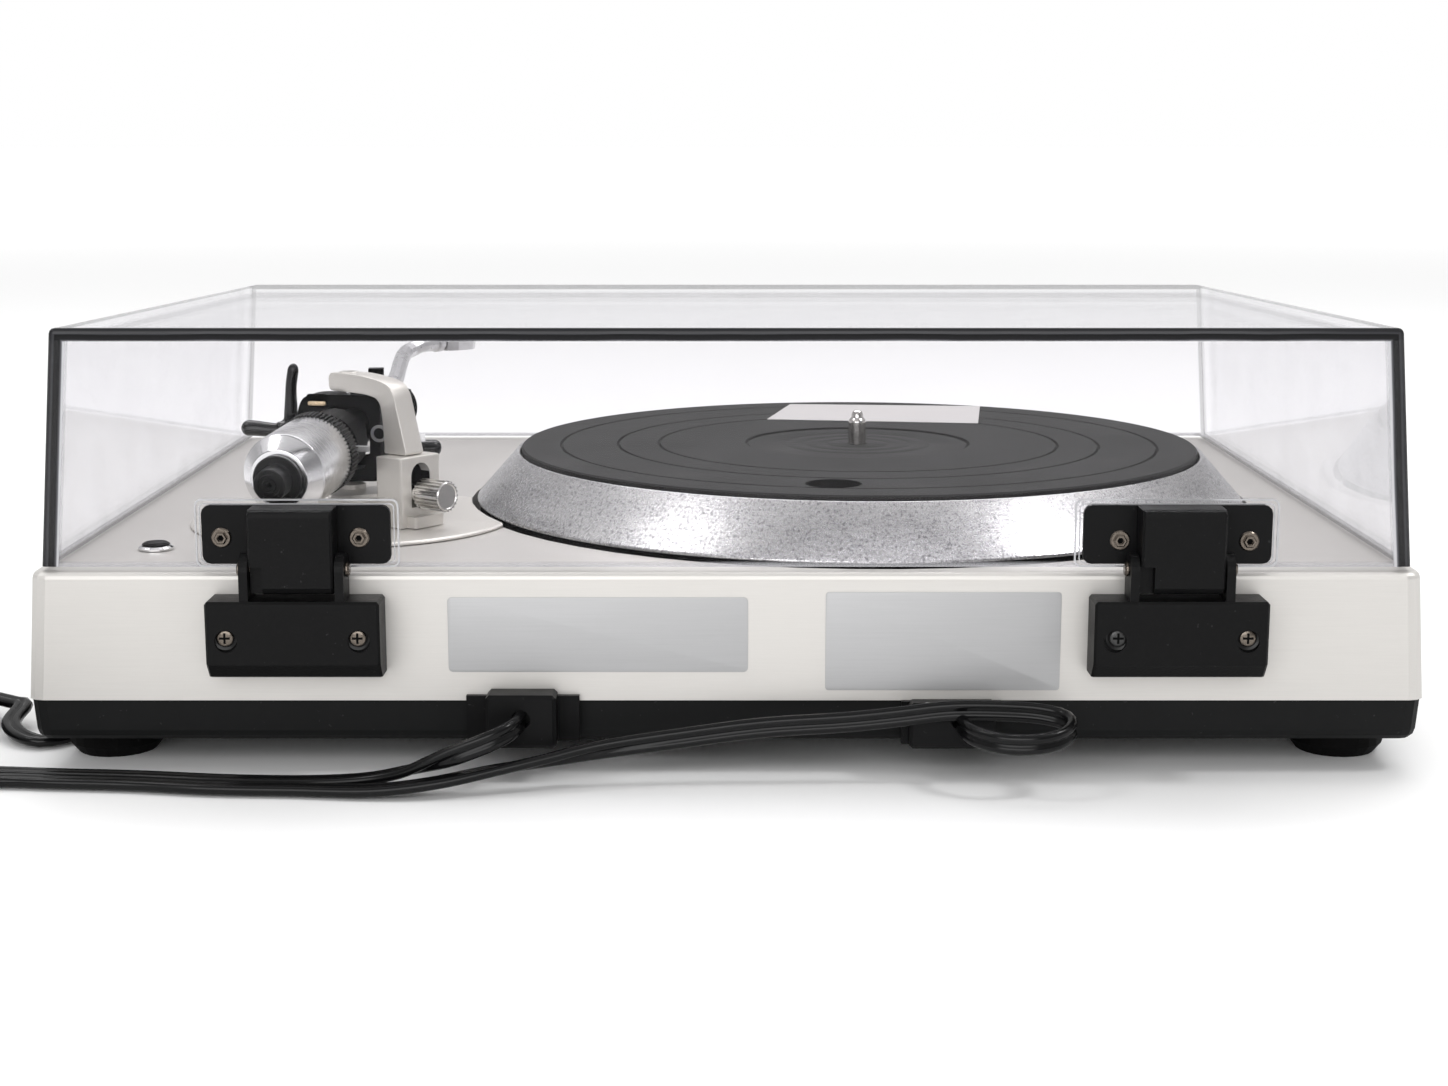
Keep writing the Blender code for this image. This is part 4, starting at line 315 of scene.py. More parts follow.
def acrylic():
    """Clear acrylic: see-through faces, and edges with painted light and dark reflections, as thick
    glass shows them.
    """
    # Its ends lean in, its top falls towards the front, and its sides narrow upwards
    end_lean = 0.0247
    top_fall = 0.0231
    top_half_width = 0.2271
    blur = 0.0004
    wobble = 0.0003
    band_width = 0.0052
    made = Shader("clear_acrylic", (0.05, 0.052, 0.06), 0.14, 0.0, Specular_IOR_Level=0.16)

    def less(first, second):
        return made.math("SUBTRACT", first, second)

    def times(first, second):
        return made.math("MULTIPLY", first, second)

    def near(distance, reach, strength):
        return made.spread(distance, reach, reach + blur, strength, 0.0)

    # How far a point is from each of the cover's leaning sides
    low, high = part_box("dust_cover")
    x, y, z = made.node("SeparateXYZ", {0: made.place}).outputs
    rise = less(z, low.z)
    inset = times(rise, end_lean)
    behind = less(less(high.y, y), inset)
    before = less(less(y, low.y), inset)
    drop = less(less(high.z, z), times(behind, top_fall))
    side_lean = (high.x - top_half_width) / (high.z - low.z)
    flank = less(less(high.x, made.math("ABSOLUTE", x)), times(rise, side_lean))

    # The edges that get the painted band: rear top, rear sides, long top, front top, front corners,
    # foot
    rear = near(behind, 0.0054, 1.0)
    masks = [
        times(near(drop, 0.0040, 1.0), rear),
        times(near(flank, 0.0058, 0.98), rear),
        times(near(flank, 0.0013, 0.60), near(drop, 0.0013, 1.0)),
        times(near(before, 0.0020, 0.60), near(drop, 0.0020, 1.0)),
        times(near(flank, 0.0013, 0.35), near(before, 0.0022, 1.0)),
        near(rise, 0.0010, 0.35),
    ]
    painted_edge_mask = masks[0]
    for mask in masks[1:]:
        painted_edge_mask = made.math("MAXIMUM", painted_edge_mask, mask)

    # The painted reflections: a band of light and dark lines painted inside an edge, where thick
    # acrylic shows bright and dark reflections
    painted_band = made.node("ValToRGB", {})
    stops = painted_band.color_ramp.elements
    stops[0].position, stops[0].color = 0.0, (0.008, 0.0085, 0.011, 1)
    stops[1].position, stops[1].color = 1.0, (0.50, 0.50, 0.52, 1)
    lines = (
        (0.18, 0.014), (0.28, 0.034), (0.38, 0.038), (0.46, 0.006), (0.80, 0.012), (0.92, 0.10)
    )
    for position, value in lines:
        stops.new(position).color = (value, value, value * 1.1, 1)
    depth = made.math("MINIMUM", times(drop, 1.18), flank)
    wave = made.spread(made.noise(1, 2, made.scaled((30, 30, 9))), 0.3, 0.7, -wobble, wobble)
    feed(painted_band.inputs[0], made.spread(made.math("ADD", depth, wave), 0.0, band_width))
    made.set("Base Color", painted_band.outputs[0])

    clear = made.node("BsdfTransparent", {0: (0.957, 0.954, 0.960, 1.0)})
    shine = made.node("BsdfGlossy", {"Roughness": 0.03, "Color": (0.9, 0.9, 0.91, 1.0)})
    fresnel = made.node("Fresnel", {"IOR": 1.22})
    scuff = made.spread(made.noise(55, 4), 0.35, 0.75, 0.40, 0.55)
    mirror = times(fresnel.outputs[0], scuff)
    skin = made.node("MixShader", {0: mirror, 1: clear.outputs[0], 2: shine.outputs[0]})
    # Along the edges, the painted band takes the place of the see-through skin
    whole = made.node("MixShader", {0: painted_edge_mask, 1: skin.outputs[0], 2: made.surface.outputs[0]})
    feed(made.tree.nodes["Material Output"].inputs["Surface"], whole.outputs[0])
    return made.material


SILVER = silver_paint()
DECK = deck_silver()
BLACK = moulded_black("satin_black")
CHARCOAL = moulded_black("charcoal_paint", (0.0075, 0.0078, 0.008), 0.50, 2600, 0.0001, 0.25)
GRAINED = moulded_black("grained_black", (0.0040, 0.0040, 0.0042), 0.40, 1100, 0.00022, 0.5)
GLOSS = glossy_black()
KNOB_BLACK = moulded_black("knob_black", (0.0060, 0.0060, 0.0062), 0.30, 2200, 0.00004, 0.12, 0.30)
RUBBER = moulded_black("foot_rubber", (0.0022, 0.0022, 0.0022), 0.66, 900, 0.0002, 0.3)
MAT = mat_rubber()
VINYL = cord_vinyl()
PLATTER_METAL = platter_metal()
WEIGHT_METAL = turned_metal("weight_satin", (0.80, 0.80, 0.805), 0.24, 0.2)
CONE_METAL = turned_metal("weight_polish", (0.80, 0.80, 0.805), 0.15, 0.2, 2.0, 3000, 0.6)
KNOB_METAL = turned_metal("knob_metal", (0.70, 0.69, 0.67), 0.20, 0.6, 2.0, 4200, 0.8)
CHROME = plain_metal("chrome", (0.80, 0.80, 0.80), 0.08)
TUBE_METAL = plain_metal("arm_metal", (0.66, 0.655, 0.665), 0.30, 120)
STEEL = plain_metal("polished_steel", (0.60, 0.58, 0.56), 0.16, 500)
# Painted highlight: the grey of a clear edge catching the light
PAINTED_EDGE_HIGHLIGHT = plain_metal("painted_edge_highlight", (0.46, 0.46, 0.475), 0.16, 300, 0.2)
NICKEL = plain_metal("brown_nickel", (0.150, 0.128, 0.108), 0.26, 900)
DARK_SCREW = plain_metal("dark_screw", (0.05, 0.05, 0.05), 0.34, 900, 0.8)
BRASS = plain_metal("brass_strip", (0.62, 0.49, 0.33), 0.30, 300)
FOIL = label_foil()
PAPER = paper()
ACRYLIC = acrylic()
GREY_TAB = plain_metal("grey_tab", (0.42, 0.42, 0.42), 0.4, 400, 0.5)
# Painted shade: a near-black for recesses, slots and gaps that lie in shadow
PAINTED_SHADE = moulded_black("painted_recess_shade", (0.0012, 0.0012, 0.0012), 0.9)


# Geometry helpers


def finish_mesh(name, shape, material, place, body=None, smooth_angle=radians(32)):
    """Makes an object from a bmesh, and lets it ride on a body."""
    bmesh.ops.remove_doubles(shape, verts=shape.verts, dist=1e-7)
    bmesh.ops.recalc_face_normals(shape, faces=shape.faces)
    mesh = bpy.data.meshes.new(name)
    shape.to_mesh(mesh)
    shape.free()
    mesh.polygons.foreach_set("use_smooth", [True] * len(mesh.polygons))
    mesh.set_sharp_from_angle(angle=smooth_angle)
    mesh.materials.append(material)
    item = bpy.data.objects.new(name, mesh)
    bpy.context.scene.collection.objects.link(item)
    item.matrix_world = place or Matrix.Identity(4)
    if body:
        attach(item, body)
    return item


def eased(profile, radius, count=3, closed=False):
    """Rounds every corner of a polyline that lies off its ends."""
    points = [Vector(p) for p in profile]
    result = []
    total = len(points)
    for index, point in enumerate(points):
        if not closed and index in (0, total - 1):
            result.append(point)
            continue
        before = points[index - 1]
        after = points[(index + 1) % total]
        back = before - point
        on = after - point
        reach = min(radius, back.length * 0.45, on.length * 0.45)
        if reach < 1e-6 or abs(back.normalized().cross(on.normalized())) < 0.02:
            result.append(point)
            continue
        first = point + back.normalized() * reach
        last = point + on.normalized() * reach
        for step in range(count + 1):
            share = step / count
            rest = 1 - share
            result.append(rest**2 * first + 2 * share * rest * point + share**2 * last)
    return result


def lathe(name, profile, material, place, steps=120, ring=False, ease=0.0, body=None):
    """Turns a profile of (radius, height) round the local Z axis."""
    line = eased(profile, ease, closed=ring) if ease else [Vector(p) for p in profile]
    shape = bmesh.new()
    rows = []
    for step in range(steps):
        angle = 2 * pi * step / steps
        across, along = cos(angle), sin(angle)
        rows.append([shape.verts.new((p.x * across, p.x * along, p.y)) for p in line])
    span = len(line) if ring else len(line) - 1
    for step in range(steps):
        here, there = rows[step], rows[(step + 1) % steps]
        for index in range(span):
            after = (index + 1) % len(line)
            corners = [here[index], there[index], there[after], here[after]]
            if line[index].x < 1e-7:
                corners = [here[index], there[after], here[after]]
            if line[after].x < 1e-7:
                corners = [here[index], there[index], here[after]]
            shape.faces.new(corners)
    return finish_mesh(name, shape, material, place, body)


def slab(name, outline, thickness, material, place, ease=0.0, body=None, count=3):
    """A plate with an outline in its local XY plane, centred on it, with rounded edges."""
    shape = bmesh.new()
    face = shape.faces.new([shape.verts.new((p[0], p[1], -thickness / 2)) for p in outline])
    grown = bmesh.ops.extrude_face_region(shape, geom=[face])
    moved = [v for v in grown["geom"] if isinstance(v, bmesh.types.BMVert)]
    bmesh.ops.translate(shape, verts=moved, vec=(0, 0, thickness))
    bmesh.ops.recalc_face_normals(shape, faces=shape.faces)
    if ease:
        sharp = [e for e in shape.edges if len(e.link_faces) == 2 and e.calc_face_angle(0) > 0.6]
        style = {"profile": 0.5, "affect": "EDGES", "clamp_overlap": True}
        bmesh.ops.bevel(shape, geom=sharp, offset=ease, segments=count, **style)
    return finish_mesh(name, shape, material, place, body)


def rounded(width, height, radius, count=6):
    """A rectangle about the origin with round corners."""
    points = []
    for index, (x, y) in enumerate(((1, 1), (-1, 1), (-1, -1), (1, -1))):
        across, up = x * (width / 2 - radius), y * (height / 2 - radius)
        for step in range(count + 1):
            angle = (index + step / count) * pi / 2
            points.append((across + radius * cos(angle), up + radius * sin(angle)))
    return points


def ellipse(wide, tall, count=24):
    """An ellipse about the origin by its half sizes."""
    angles = [2 * pi * index / count for index in range(count)]
    return [(wide * cos(angle), tall * sin(angle)) for angle in angles]


def ribs(radius, rib, count):
    """A circle with a low flat rib for each count."""
    points = []
    for index in range(count):
        for part, rise in ((0.0, 0.0), (0.18, rib), (0.5, rib), (0.68, 0.0)):
            angle = 2 * pi * (index + part) / count
            points.append(((radius + rise) * cos(angle), (radius + rise) * sin(angle)))
    return points


def smooth_path(points, spacing):
    """Evenly spaced points on a smooth curve through a route's own points."""
    points = [Vector(p) for p in points]
    padded = [2 * points[0] - points[1], *points, 2 * points[-1] - points[-2]]
    fine = []
    for index in range(1, len(padded) - 2):
        a, b, c, d = padded[index - 1 : index + 3]
        for step in range(16):
            s = step / 16
            start = 2 * b + (c - a) * s
            bend = (2 * a - 5 * b + 4 * c - d) * s**2
            fine.append(0.5 * (start + bend + (3 * b - a - 3 * c + d) * s**3))
    fine.append(points[-1])
    return even(fine, spacing)


def even(line, spacing):
    """The same line with evenly spaced points."""
    lengths = [0.0]
    for first, second in zip(line, line[1:]):
        lengths.append(lengths[-1] + (second - first).length)
    count = max(2, round(lengths[-1] / spacing))
    result = []
    index = 0
    for step in range(count + 1):
        goal = lengths[-1] * step / count
        while index < len(lengths) - 2 and lengths[index + 1] < goal:
            index += 1
        run = lengths[index + 1] - lengths[index]
        share = (goal - lengths[index]) / run if run else 0
        result.append(line[index].lerp(line[index + 1], min(1, max(0, share))))
    return result


def bridge(shape, rows):
    """Joins each closed row of corners to the next by a band of faces."""
    for first, second in zip(rows, rows[1:]):
        for index in range(len(first)):
            after = (index + 1) % len(first)
            shape.faces.new([first[index], first[after], second[after], second[index]])


def sweep(name, path, outlines, material, body, sides=None):
    """A closed tube: an outline for each point of a path, across the path."""
    shape = bmesh.new()
    rows = []
    for index, point in enumerate(path):
        ahead = path[min(index + 1, len(path) - 1)] - path[max(index - 1, 0)]
        ahead.normalize()
        side = sides[index] if sides else Vector((0, 0, 1)).cross(ahead)
        side = (side - ahead * side.dot(ahead)).normalized()
        up = ahead.cross(side)
        rows.append([shape.verts.new(point + side * u + up * v) for u, v in outlines[index]])
    bridge(shape, rows)
    shape.faces.new(list(reversed(rows[0])))
    shape.faces.new(rows[-1])
    return finish_mesh(name, shape, material, None, body, radians(50))


def frame_ring(name, outer, inner, thickness, material, place, body):
    """A flat ring between two outlines with as many points."""
    shape = bmesh.new()
    rows = []
    for outline, z in ((outer, 0), (outer, thickness), (inner, thickness), (inner, 0)):
        rows.append([shape.verts.new((p[0], p[1], z)) for p in outline])
    bridge(shape, [*rows, rows[0]])
    return finish_mesh(name, shape, material, place, body)


def use(material, *names):
    """Gives CAD nodes a material."""
    for name in names:
        mesh = NODES[name].data
        mesh.materials.clear()
        mesh.materials.append(material)


def cut_hole(item, centre, radius, low, high):
    """Cuts a round upright hole through a piece."""
    shape = bmesh.new()
    size = {"radius1": radius, "radius2": radius, "depth": high - low}
    bmesh.ops.create_cone(shape, cap_ends=True, segments=64, **size)
    mesh = bpy.data.meshes.new("hole")
    shape.to_mesh(mesh)
    shape.free()
    tool = bpy.data.objects.new("hole", mesh)
    bpy.context.scene.collection.objects.link(tool)
    tool.matrix_world = item.matrix_world @ offset(*centre, (low + high) / 2)
    cut = item.modifiers.new("hole", "BOOLEAN")
    cut.operation = "DIFFERENCE"
    cut.solver = "EXACT"
    cut.object = tool
    bpy.context.view_layer.update()
    result = item.evaluated_get(bpy.context.evaluated_depsgraph_get())
    mesh = bpy.data.meshes.new_from_object(result)
    item.modifiers.clear()
    old = item.data
    item.data = mesh
    mesh.name = old.name
    bpy.data.objects.remove(tool, do_unlink=True)


# Camera

camera_data = bpy.data.cameras.new("camera")
camera_data.lens = 55.16
camera_data.sensor_width = 36
camera_data.sensor_fit = "HORIZONTAL"
photo_width = 1448
camera_data.shift_x = -2.3 / photo_width
camera_data.clip_start = 0.05
camera = bpy.data.objects.new("camera", camera_data)
camera.location = (0, rear_y + 0.7375, deck_z + 0.1471)
camera.rotation_euler = (radians(79.5), 0, pi)
bpy.context.scene.collection.objects.link(camera)
bpy.context.scene.camera = camera


# Cords

# A strand's radius, half the gap between two, and how the loops lie on the floor
strand = 0.00185
web = 0.00175
coil_pitch = 0.0080
coil_layer = 0.0054
coil_steps = 24
coil_end = 0.0046
cord_ground = 0.0026
cord_step = 2.4 * coil_end

PHONO_ROUTE = [
    (0.0695, 0.1890, 0.0222), (0.0698, 0.1960, 0.0220), (0.0725, 0.2022, 0.0209),
    (0.0792, 0.2062, 0.0184), (0.0885, 0.2068, 0.0148), (0.0985, 0.2050, 0.0108),
    (0.1100, 0.2022, 0.0066), (0.1230, 0.2000, 0.0038), (0.1435, 0.1988, 0.0026),
    (0.1710, 0.1972, 0.0026), (0.1990, 0.1930, 0.0026), (0.2260, 0.1906, 0.0026),
    (0.2450, 0.1884, 0.0026), (0.2680, 0.1862, 0.0026), (0.2880, 0.1852, 0.0026),
]
MAINS_ROUTE = [
    (-0.0796, 0.1850, 0.0209), (-0.0797, 0.1930, 0.0207), (-0.0812, 0.2000, 0.0200),
    (-0.0860, 0.2065, 0.0192), (-0.0940, 0.2105, 0.0188), (-0.1040, 0.2105, 0.0190),
    (-0.1120, 0.2068, 0.0202), (-0.1157, 0.2005, 0.0220), (-0.1135, 0.1945, 0.0232),
    (-0.1060, 0.1914, 0.0243), (-0.0950, 0.1910, 0.0250), (-0.0820, 0.1911, 0.0253),
    (-0.0721, 0.1912, 0.0249), (-0.0593, 0.1914, 0.0233), (-0.0400, 0.1918, 0.0214),
    (-0.0114, 0.1925, 0.0196), (0.0180, 0.1938, 0.0160), (0.0427, 0.1962, 0.0130),
    (0.0600, 0.1996, 0.0104), (0.0780, 0.2040, 0.0080), (0.0980, 0.2088, 0.0050),
    (0.1180, 0.2096, 0.0030), (0.1435, 0.2070, 0.0026), (0.1710, 0.2054, 0.0026),
    (0.1990, 0.2008, 0.0026), (0.2260, 0.1984, 0.0026), (0.2450, 0.1966, 0.0026),
    (0.2580, 0.1996, 0.0026), (0.2700, 0.2072, 0.0026),
]
PHONO_TAIL = [
    (0.2612, 0.1330, 0.0054), (0.2535, 0.1448, 0.0036), (0.2450, 0.1480, 0.0026),
    (0.2392, 0.1425, 0.0026), (0.2350, 0.1320, 0.0026), (0.2290, 0.1220, 0.0026),
    (0.2200, 0.1130, 0.0026),
]
MAINS_TAIL = [(0.3450, 0.2440, 0.0058), (0.3560, 0.2490, 0.0066)]


def coil(centre, radius, turns, start_turn, sense):
    """Loops that spiral in on the floor, climb one layer and spiral out again on top."""
    count = round(turns * coil_steps)
    half = turns / 2
    points = []
    for index in range(count + 1):
        turn = index / coil_steps
        inward = turn if turn < half else turns - turn
        climb = min(1, max(0, (turn - half + 0.25) / 0.5))
        reach = radius - coil_pitch * inward
        angle = radians(start_turn) + sense * 2 * pi * turn
        x = centre[0] + reach * cos(angle)
        y = centre[1] + reach * sin(angle)
        points.append(Vector((x, y, cord_ground + coil_layer * climb)))
    first = (points[0] - points[1]).normalized()
    last = (points[-1] - points[-2]).normalized()
    return [points[0] + coil_end * first, *points, points[-1] + coil_end * last]


def twin_cord(name, path):
    """Two strands and a narrow web, on edge in the air and flat on the floor."""
    outline = []
    for side, start in ((1, -150), (-1, 30)):
        for step in range(11):
            angle = radians(start + 30 * step)
            outline.append((side * web + strand * cos(angle), strand * sin(angle)))
    sides = []
    for index, point in enumerate(path):
        ahead = (path[min(index + 1, len(path) - 1)] - path[max(index - 1, 0)]).normalized()
        flat = Vector((0, 0, 1)).cross(ahead).normalized()
        lift = min(1, max(0, (point.z - 0.0062) / 0.010)) if point.x < 0.15 else 0
        turn = radians(90) * lift * lift * (3 - 2 * lift)
        sides.append(flat * cos(turn) + ahead.cross(flat) * sin(turn))
    return sweep(name, path, [outline] * len(path), VINYL, "chassis", sides)


phono_coil = coil((0.3115, 0.1380), 0.0470, 4.625, 90, -1)
mains_coil = coil((0.2960, 0.2680), 0.0505, 5.125, 270, 1)


def lead(route, loops, tail):
    """A route, its put-away loops and its far end as one line."""
    back = (loops[0] - loops[1]).normalized()
    on = (loops[-1] - loops[-2]).normalized()
    entry = [loops[0] + cord_step * 1.5 * back, loops[0] + cord_step * back]
    start = smooth_path([*route, *entry], 0.004)
    end = smooth_path([loops[-1] + cord_step * on, loops[-1] + cord_step * 1.5 * on, *tail], 0.004)
    return even([*start, *smooth_path(loops, 0.003), *end], 0.0032)


plug_turn = rotation(12)
plug_spot = Vector((0.3640, 0.2510, 0.0003))
plug_entry = [plug_spot + plug_turn @ Vector((-x, 0, 0.00725)) for x in (cord_step, 0.0003)]
phono_line = lead(PHONO_ROUTE, phono_coil, PHONO_TAIL)
mains_line = lead(MAINS_ROUTE, mains_coil, [*MAINS_TAIL, *plug_entry])

phono = twin_cord("phono_lead", phono_line)
mains = twin_cord("mains_lead", mains_line)
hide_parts("phono_cord", "phono_cord_coil", "phono_cord_tail")
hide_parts("mains_cord", "mains_cord_coil")
relief_path = mains_line[-8:]
relief_shapes = []
for index in range(len(relief_path)):
    share = index / (len(relief_path) - 1)
    swell = 0.00035 * (index % 2)
    wide, tall = 0.0041 + 0.0013 * share + swell, 0.0026 + 0.0016 * share + swell
    relief_shapes.append(ellipse(wide, tall))
relief = sweep("mains_strain_relief", relief_path, relief_shapes, BLACK, "chassis")

# The phono lead splits into a strand for each plug
split = Vector((0.2200, 0.1130, 0.0026))
heading = rotation(222)
for number, side in ((1, 1), (2, -1)):
    end = split + heading @ Vector((0.0160, side * 0.0059, 0)) + Vector((0, 0, 0.0024))
    middle = split + heading @ Vector((0.0064, side * 0.0044, 0.0014))
    near = end - heading @ Vector((0.0032, 0, 0))
    back = split - heading @ Vector((0.0040, -side * web, 0))
    route = smooth_path([back, middle, near, end], 0.0012)
    outline = ellipse(0.0017, 0.0017, 16)
    sweep(f"phono_strand_{number}", route, [outline] * len(route), VINYL, "chassis")


# Cabinet, tray, feet and cover

use(DECK, "cabinet")
use(CHARCOAL, "bottom_tray")
use(RUBBER, "foot_rear_left", "foot_rear_right", "foot_front_left", "foot_front_right")
use(ACRYLIC, "dust_cover")
use(GRAINED, "hinge_block_left", "hinge_block_right", "hinge_cover_left", "hinge_cover_right")
use(BLACK, "hinge_plate_left", "hinge_plate_right", "phono_cord_clamp", "mains_cord_clip")
use(BLACK, "lift_housing", "gimbal_ring", "arm_hub", "arm_rest", "socket_cap", "motor_stator")
use(BLACK, "control_board", "pitch_dial", "anti_skate_dial", "mains_plug", "power_transformer")
use(NICKEL, "hinge_pin_left", "hinge_pin_right")
use(SILVER, "arm_base")
use(CHROME, "headshell_socket", "arm_lift", "bearing_housing", "phono_plug_1", "phono_plug_2")
use(TUBE_METAL, "arm_tube", "headshell_collar", "headshell", "spindle", "rotor_magnet")
use(SILVER, "power_button", "speed_33_button", "speed_45_button", "start_button", "stop_button")


def phillips(name, place, radius, height, material, body):
    """A domed screw head with a cross of painted shade in it, facing the local +Z."""
    dome = [(0, height)]
    for step in range(1, 7):
        angle = step / 6 * pi / 2
        dome.append((radius * sin(angle), height * (0.35 + 0.65 * cos(angle))))
    dome += [(radius, 0), (0, 0)]
    lathe(name, dome, material, place, 40, body=body)
    arm, wide = radius * 0.62, radius * 0.13
    corner = [(arm, wide), (wide, wide), (wide, arm)]
    cross = []
    for _ in range(4):
        cross += corner
        corner = [(-y, x) for x, y in corner]
    # The cross is painted shade: a thin near-black sheet laid on the dome
    top = place @ offset(0, 0, height * 0.985)
    slab(name + "_cross", cross, height * 0.06, PAINTED_SHADE, top, body=body)


SCREW_WELL = [(0.0032, 0), (0.0044, 0), (0.0044, 0.0002), (0.0041, 0.0004), (0.0034, 0.0001)]
COLLAR = [(0.0018, 0), (0.0034, 0), (0.0034, 0.0004), (0.0030, 0.0008), (0.0018, 0.0008)]
HEX_HEAD = [
    (0.0023, 0.0005), (0.0023, 0.0017), (0.0019, 0.0020), (0.0013, 0.0020), (0.0012, 0.0010),
    (0, 0.0009),
]
HEX_SOCKET = [(0, 0.00105), (0.0011, 0.00105)]
pad_width, pad_height = 0.0690, 0.0234
block_front, block_drop = 0.0133, 0.0194


def hinge_details(side, x, plate_screws):
    """The block's screws in wells, the plate's screws on collars, and the clear pad's edges as thin
    grey frames of painted highlight.
    """
    reach = 0.0222 if side == "left" else 0.0217
    middle = x + copysign(0.0005, x)
    for number, way in enumerate((-1, 1)):
        material = DARK_SCREW if side == "right" and way > 0 else NICKEL
        spot = offset(middle + way * reach, rear_y + block_front, deck_z - block_drop) @ FACE
        well = lathe(f"screw_well_{side}_{number}", SCREW_WELL, KNOB_BLACK, spot, 64, ring=True)
        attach(well, "chassis")
        phillips(f"block_screw_{side}_{number}", spot, 0.0029, 0.0012, material, "chassis")
    for number, (along, up) in enumerate(plate_screws):
        spot = offset(along, rear_y + 0.0018, deck_z + up) @ FACE
        lathe(f"plate_collar_{side}_{number}", COLLAR, NICKEL, spot, 48, ring=True, body="lid")
        lathe(f"plate_screw_{side}_{number}", HEX_HEAD, NICKEL, spot, 6, body="lid")
        # The hex socket is painted shade: a near-black disc in the hollow
        lathe(f"plate_socket_{side}_{number}", HEX_SOCKET, PAINTED_SHADE, spot, 6, body="lid")
    # The pad's edges are painted highlight: thin grey frames where the clear edges catch the light
    pad = offset(x, rear_y - 0.0004, deck_z + 0.0138) @ FACE
    for number, (inset, wide) in enumerate(((0.0, 0.0006), (0.0015, 0.0004))):
        outline = []
        for cut, radius in ((2 * inset, 0.0025), (2 * (inset + wide), 0.0020)):
            outline.append(rounded(pad_width - cut, pad_height - cut, radius - inset / 2))
        frame_ring(f"pad_edge_{side}_{number}", *outline, 0.0004, PAINTED_EDGE_HIGHLIGHT, pad, "lid")


hinge_details("left", 0.1450, ((0.1702, 0.0126), (0.1237, 0.0126)))
hinge_details("right", -0.1522, ((-0.1327, 0.0117), (-0.1763, 0.0114)))


def face_plate(name, x_span, z_span, radius):
    """A thin bare plate on the cabinet's rear face."""
    middle = at(sum(x_span) / 2, -0.00012, sum(z_span) / 2)
    outline = rounded(x_span[1] - x_span[0], z_span[1] - z_span[0], radius)
    slab(name, outline, 0.0003, FOIL, offset(*middle) @ FACE, 0.00008, "chassis", 2)


face_plate("rating_plate", (-0.0074, 0.0948), (-0.0344, -0.0083), 0.0016)
face_plate("caution_plate", (-0.1139, -0.0338), (-0.0408, -0.0065), 0.0012)
clip = offset(*at(-0.0804, -0.0100, -0.0436)) @ FACE
slab("clip_plate", rounded(0.0262, 0.0020, 0.0003), 0.0006, GREY_TAB, clip, 0.0001, "chassis", 2)

# The slip on the mat, left bare
mat_top = 0.0221
slip_thickness = 0.0002
slip = [(-0.0180, 0.2356), (-0.0297, 0.2905), (-0.1173, 0.2828), (-0.1096, 0.2219)]
slip_outline = [(x, rear_y - t) for x, t in slip]
slip_place = offset(0, 0, deck_z + mat_top + slip_thickness)
slab("paper_slip", slip_outline, slip_thickness, PAPER, slip_place, 0, "rotor")


# Platter and mat

bore = 0.00388
finger_hole = (0.0149, 0.1097)
finger_radius = 0.0103
platter_profile = [
    (0.1371, 0.0184), (0.1371, 0.0196), (0.1379, 0.0203), (0.1388, 0.0204), (0.1540, 0.0032),
    (0.1550, 0.0021), (0.1550, 0.0012), (0.1508, 0.0012), (0.1284, 0.0144), (0.0140, 0.0144),
    (0.0140, -0.0058), (bore, -0.0058), (bore, 0.0184),
]
platter = lathe(
    "platter_disc", platter_profile, PLATTER_METAL, PLATTER, 256, ring=True, ease=0.0005
)
cut_hole(platter, finger_hole, finger_radius, 0.002, 0.03)
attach(platter, "rotor")
# The skirt under the rim is painted shade: a near-black ring where the gap under the platter lies
# in shadow
skirt = [(0.1512, 0.0013), (0.1540, 0.0013), (0.1540, -0.0055), (0.1512, -0.0055)]
lathe("platter_skirt", skirt, PAINTED_SHADE, PLATTER, 192, ring=True, body="rotor")
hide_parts("platter")

# The mat's middle lies lower, and each ring is a groove at a share of the radius
mat_radius = 0.1368
mat_floor = 0.0187
label_share = 0.33
label_drop = 0.0006
groove_step = 0.00006
grooves = ((0.094, 3), (0.155, 3), (0.216, 3), (0.33, 7), (0.593, 4), (0.714, 4), (0.883, 4))
mat_profile = [(bore, mat_top - label_drop)]
for share, deep in grooves:
    middle = mat_radius * share
    inside = mat_top - (label_drop if share <= label_share else 0)
    outside = mat_top - (label_drop if share < label_share else 0)
    groove = mat_top - label_drop - deep * groove_step
    mat_profile += [(middle - 0.0007, inside), (middle - 0.0002, groove)]
    mat_profile += [(middle + 0.0002, groove), (middle + 0.0007, outside)]
mat_profile += [(0.1362, mat_top), (mat_radius, mat_top - 0.0006)]
mat_profile += [(mat_radius, mat_floor), (bore, mat_floor)]
mat = lathe("rubber_mat", mat_profile, MAT, PLATTER, 256, ring=True)
cut_hole(mat, finger_hole, finger_radius, 0.01, 0.03)
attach(mat, "rotor")
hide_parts("platter_mat")

pin_radius = 0.00358
spindle_profile = [
    (0, 0.0353), (0.0011, 0.0352), (0.0020, 0.0346), (0.0024, 0.0335), (0.0026, 0.0322),
    (0.0034, 0.0312), (pin_radius, 0.0304), (pin_radius, -0.0061), (0.0080, -0.0061),
    (0.0080, -0.0070), (pin_radius, -0.0070), (pin_radius, -0.0320), (0, -0.0320),
]
pin = lathe("spindle_pin", spindle_profile, STEEL, PLATTER, 96, ease=0.0002, body="rotor")
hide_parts("spindle")


# Plateau under the arm

